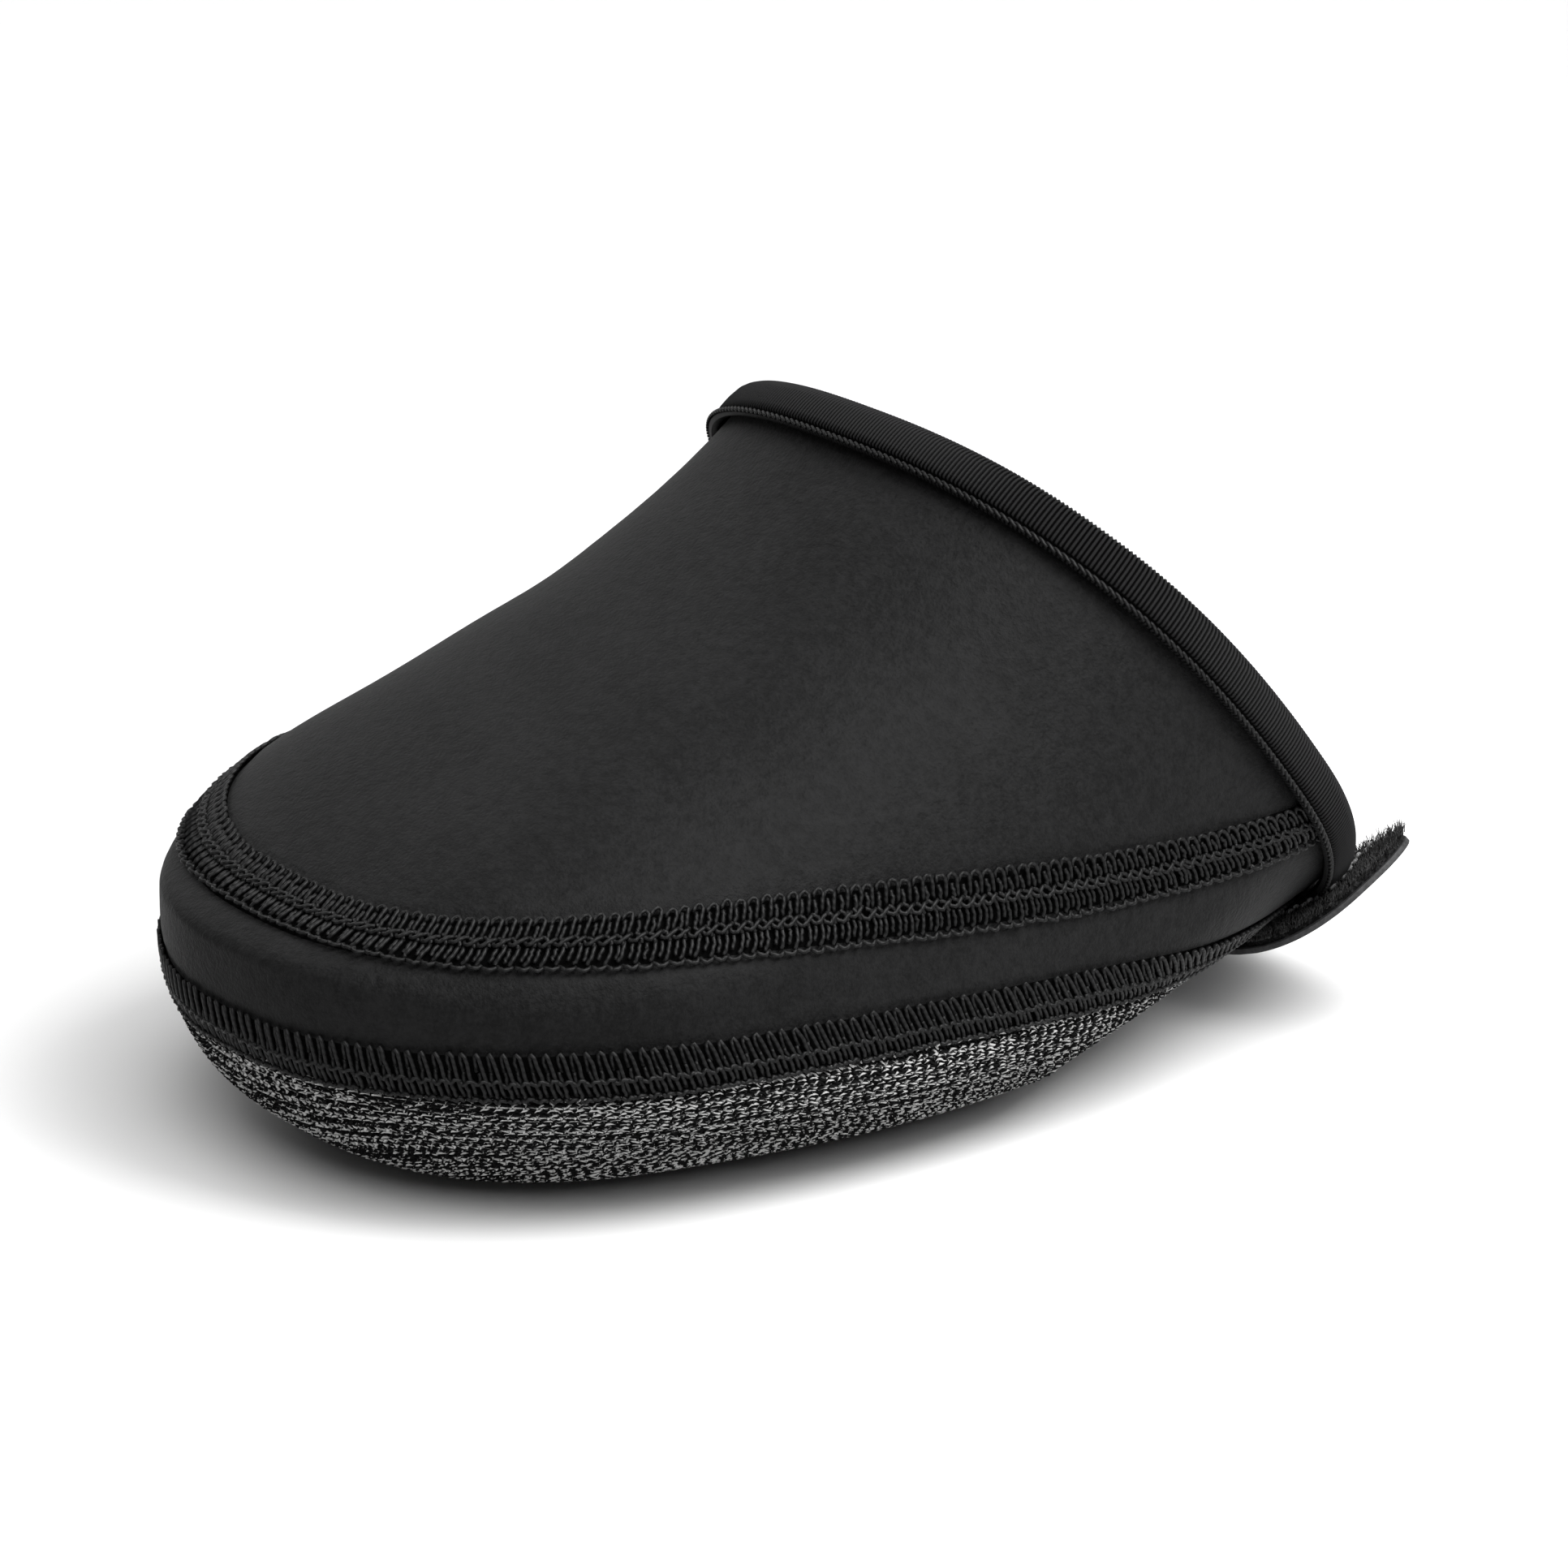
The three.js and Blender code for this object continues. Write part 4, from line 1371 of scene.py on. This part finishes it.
class COVER_OT_stage(bpy.types.Operator):
    """Set out the white floor, the soft lights and the camera"""

    bl_idname = "cover.stage"
    bl_label = "Stage"

    def execute(self, context):
        stage = context.scene.cover_stage
        clear_selection()
        bpy.ops.mesh.primitive_plane_add(size=stage.floor_size, location=(0, 0, 0))
        floor = bpy.context.active_object
        floor.name = "floor"
        white = Finish("pale paper", Base_Color=(0.6, 0.6, 0.6, 1), Roughness=0.85, Specular_IOR_Level=0.1)
        white.emboss(white.noise(1.4), 0.03, 0.2)
        floor.data.materials.append(white.material)
        self.lights(stage)
        self.camera(stage)
        return {"FINISHED"}

    def lights(self, stage):
        world = bpy.data.worlds.new("white room")
        bpy.context.scene.world = world
        world.use_nodes = True
        back = world.node_tree.nodes["Background"]
        back.inputs["Color"].default_value = (1, 1, 1, 1)
        back.inputs["Strength"].default_value = stage.sky
        for name, toward, width, power in LIGHTS:
            clear_selection()
            bpy.ops.object.light_add(type="SUN", location=toward)
            lamp = bpy.context.active_object
            lamp.name = name
            lamp.data.angle = math.radians(width)
            lamp.data.energy = power * stage.key
            lamp.rotation_euler = Vector(toward).to_track_quat("Z", "Y").to_euler()
        clear_selection()
        bpy.ops.object.light_add(type="AREA", location=SOFTBOX_PLACE)
        box = bpy.context.active_object
        box.name = "near softbox"
        box.data.shape = "SQUARE"
        box.data.size = SOFTBOX_WIDTH
        box.data.energy = stage.softbox
        box.rotation_euler = (Vector(SOFTBOX_PLACE) - Vector(SOFTBOX_AIM)).to_track_quat("Z", "Y").to_euler()
        bpy.context.scene.view_settings.view_transform = "Standard"

    def camera(self, stage):
        turn, rise, roll = stage.camera_turn, stage.camera_rise, stage.camera_roll
        back = Vector((math.cos(rise) * math.cos(turn), -math.cos(rise) * math.sin(turn), math.sin(rise)))
        right = Vector((math.sin(turn), math.cos(turn), 0))
        up = back.cross(right)
        tilted = right * math.cos(roll) - up * math.sin(roll)
        upright = right * math.sin(roll) + up * math.cos(roll)
        aim = Vector((0, (AHEAD - COVER_LENGTH / 2) * MM, AIM_HEIGHT * MM))
        clear_selection()
        bpy.ops.object.camera_add(location=(0, 0, 0))
        camera = bpy.context.active_object
        camera.name = "camera"
        basis = Matrix((tilted, upright, back)).transposed().to_4x4()
        basis.translation = aim + back * stage.camera_distance
        camera.matrix_world = basis
        camera.data.sensor_width = SENSOR_WIDTH
        camera.data.lens = SENSOR_WIDTH * stage.camera_distance / stage.frame_width
        camera.data.shift_x, camera.data.shift_y = CAMERA_SHIFT
        camera.data.clip_end = 20
        bpy.context.scene.camera = camera


# Camera: sensor in millimetres, height aimed at, and shift as shares of the frame
SENSOR_WIDTH = 36
AIM_HEIGHT = 40
CAMERA_SHIFT = (0.0388, 0.0008)

# Broad soft lights: name, where each comes from, its width in degrees and share of the key power
LIGHTS = (
    ("overhead light", (0.45, -0.05, 0.9), 75.0, 0.6),
    ("far rim light", (-1.0, 0.1, 0.55), 40.0, 0.1),
)

# Softbox over the collar, in metres: where it hangs, what it faces and its width
SOFTBOX_PLACE = (0.26, 0.12, 0.42)
SOFTBOX_AIM = (0.0, 0.03, 0.05)
SOFTBOX_WIDTH = 0.3

OPERATORS = (
    COVER_OT_upper,
    COVER_OT_seams,
    COVER_OT_sole,
    COVER_OT_binding,
    COVER_OT_strap,
    COVER_OT_patch,
    COVER_OT_stage,
)
GROUPS = ((CoverSizes, "cover_sizes"), (CoverLooks, "cover_looks"), (CoverStage, "cover_stage"))


class COVER_PT_panel(bpy.types.Panel):
    """Sizes, colours and steps of the toe cover"""

    bl_idname = "COVER_PT_panel"
    bl_label = "Toe cover"
    bl_space_type = "VIEW_3D"
    bl_region_type = "UI"
    bl_category = "Toe cover"

    def draw(self, context):
        for group, name in GROUPS:
            for prop in group.__annotations__:
                self.layout.prop(getattr(context.scene, name), prop)
        for operator in OPERATORS:
            self.layout.operator(operator.bl_idname)


def register():
    for group, name in GROUPS:
        bpy.utils.register_class(group)
        setattr(bpy.types.Scene, name, PointerProperty(type=group))
    for cls in (*OPERATORS, COVER_PT_panel):
        bpy.utils.register_class(cls)


def unregister():
    for cls in reversed((*OPERATORS, COVER_PT_panel)):
        bpy.utils.unregister_class(cls)
    for group, name in reversed(GROUPS):
        delattr(bpy.types.Scene, name)
        bpy.utils.unregister_class(group)


def main():
    register()
    for operator in OPERATORS:
        kind, step = operator.bl_idname.split(".")
        result = getattr(getattr(bpy.ops, kind), step)()
        if result != {"FINISHED"}:
            raise RuntimeError(operator.bl_label + " did not finish")


if __name__ == "__main__":
    main()
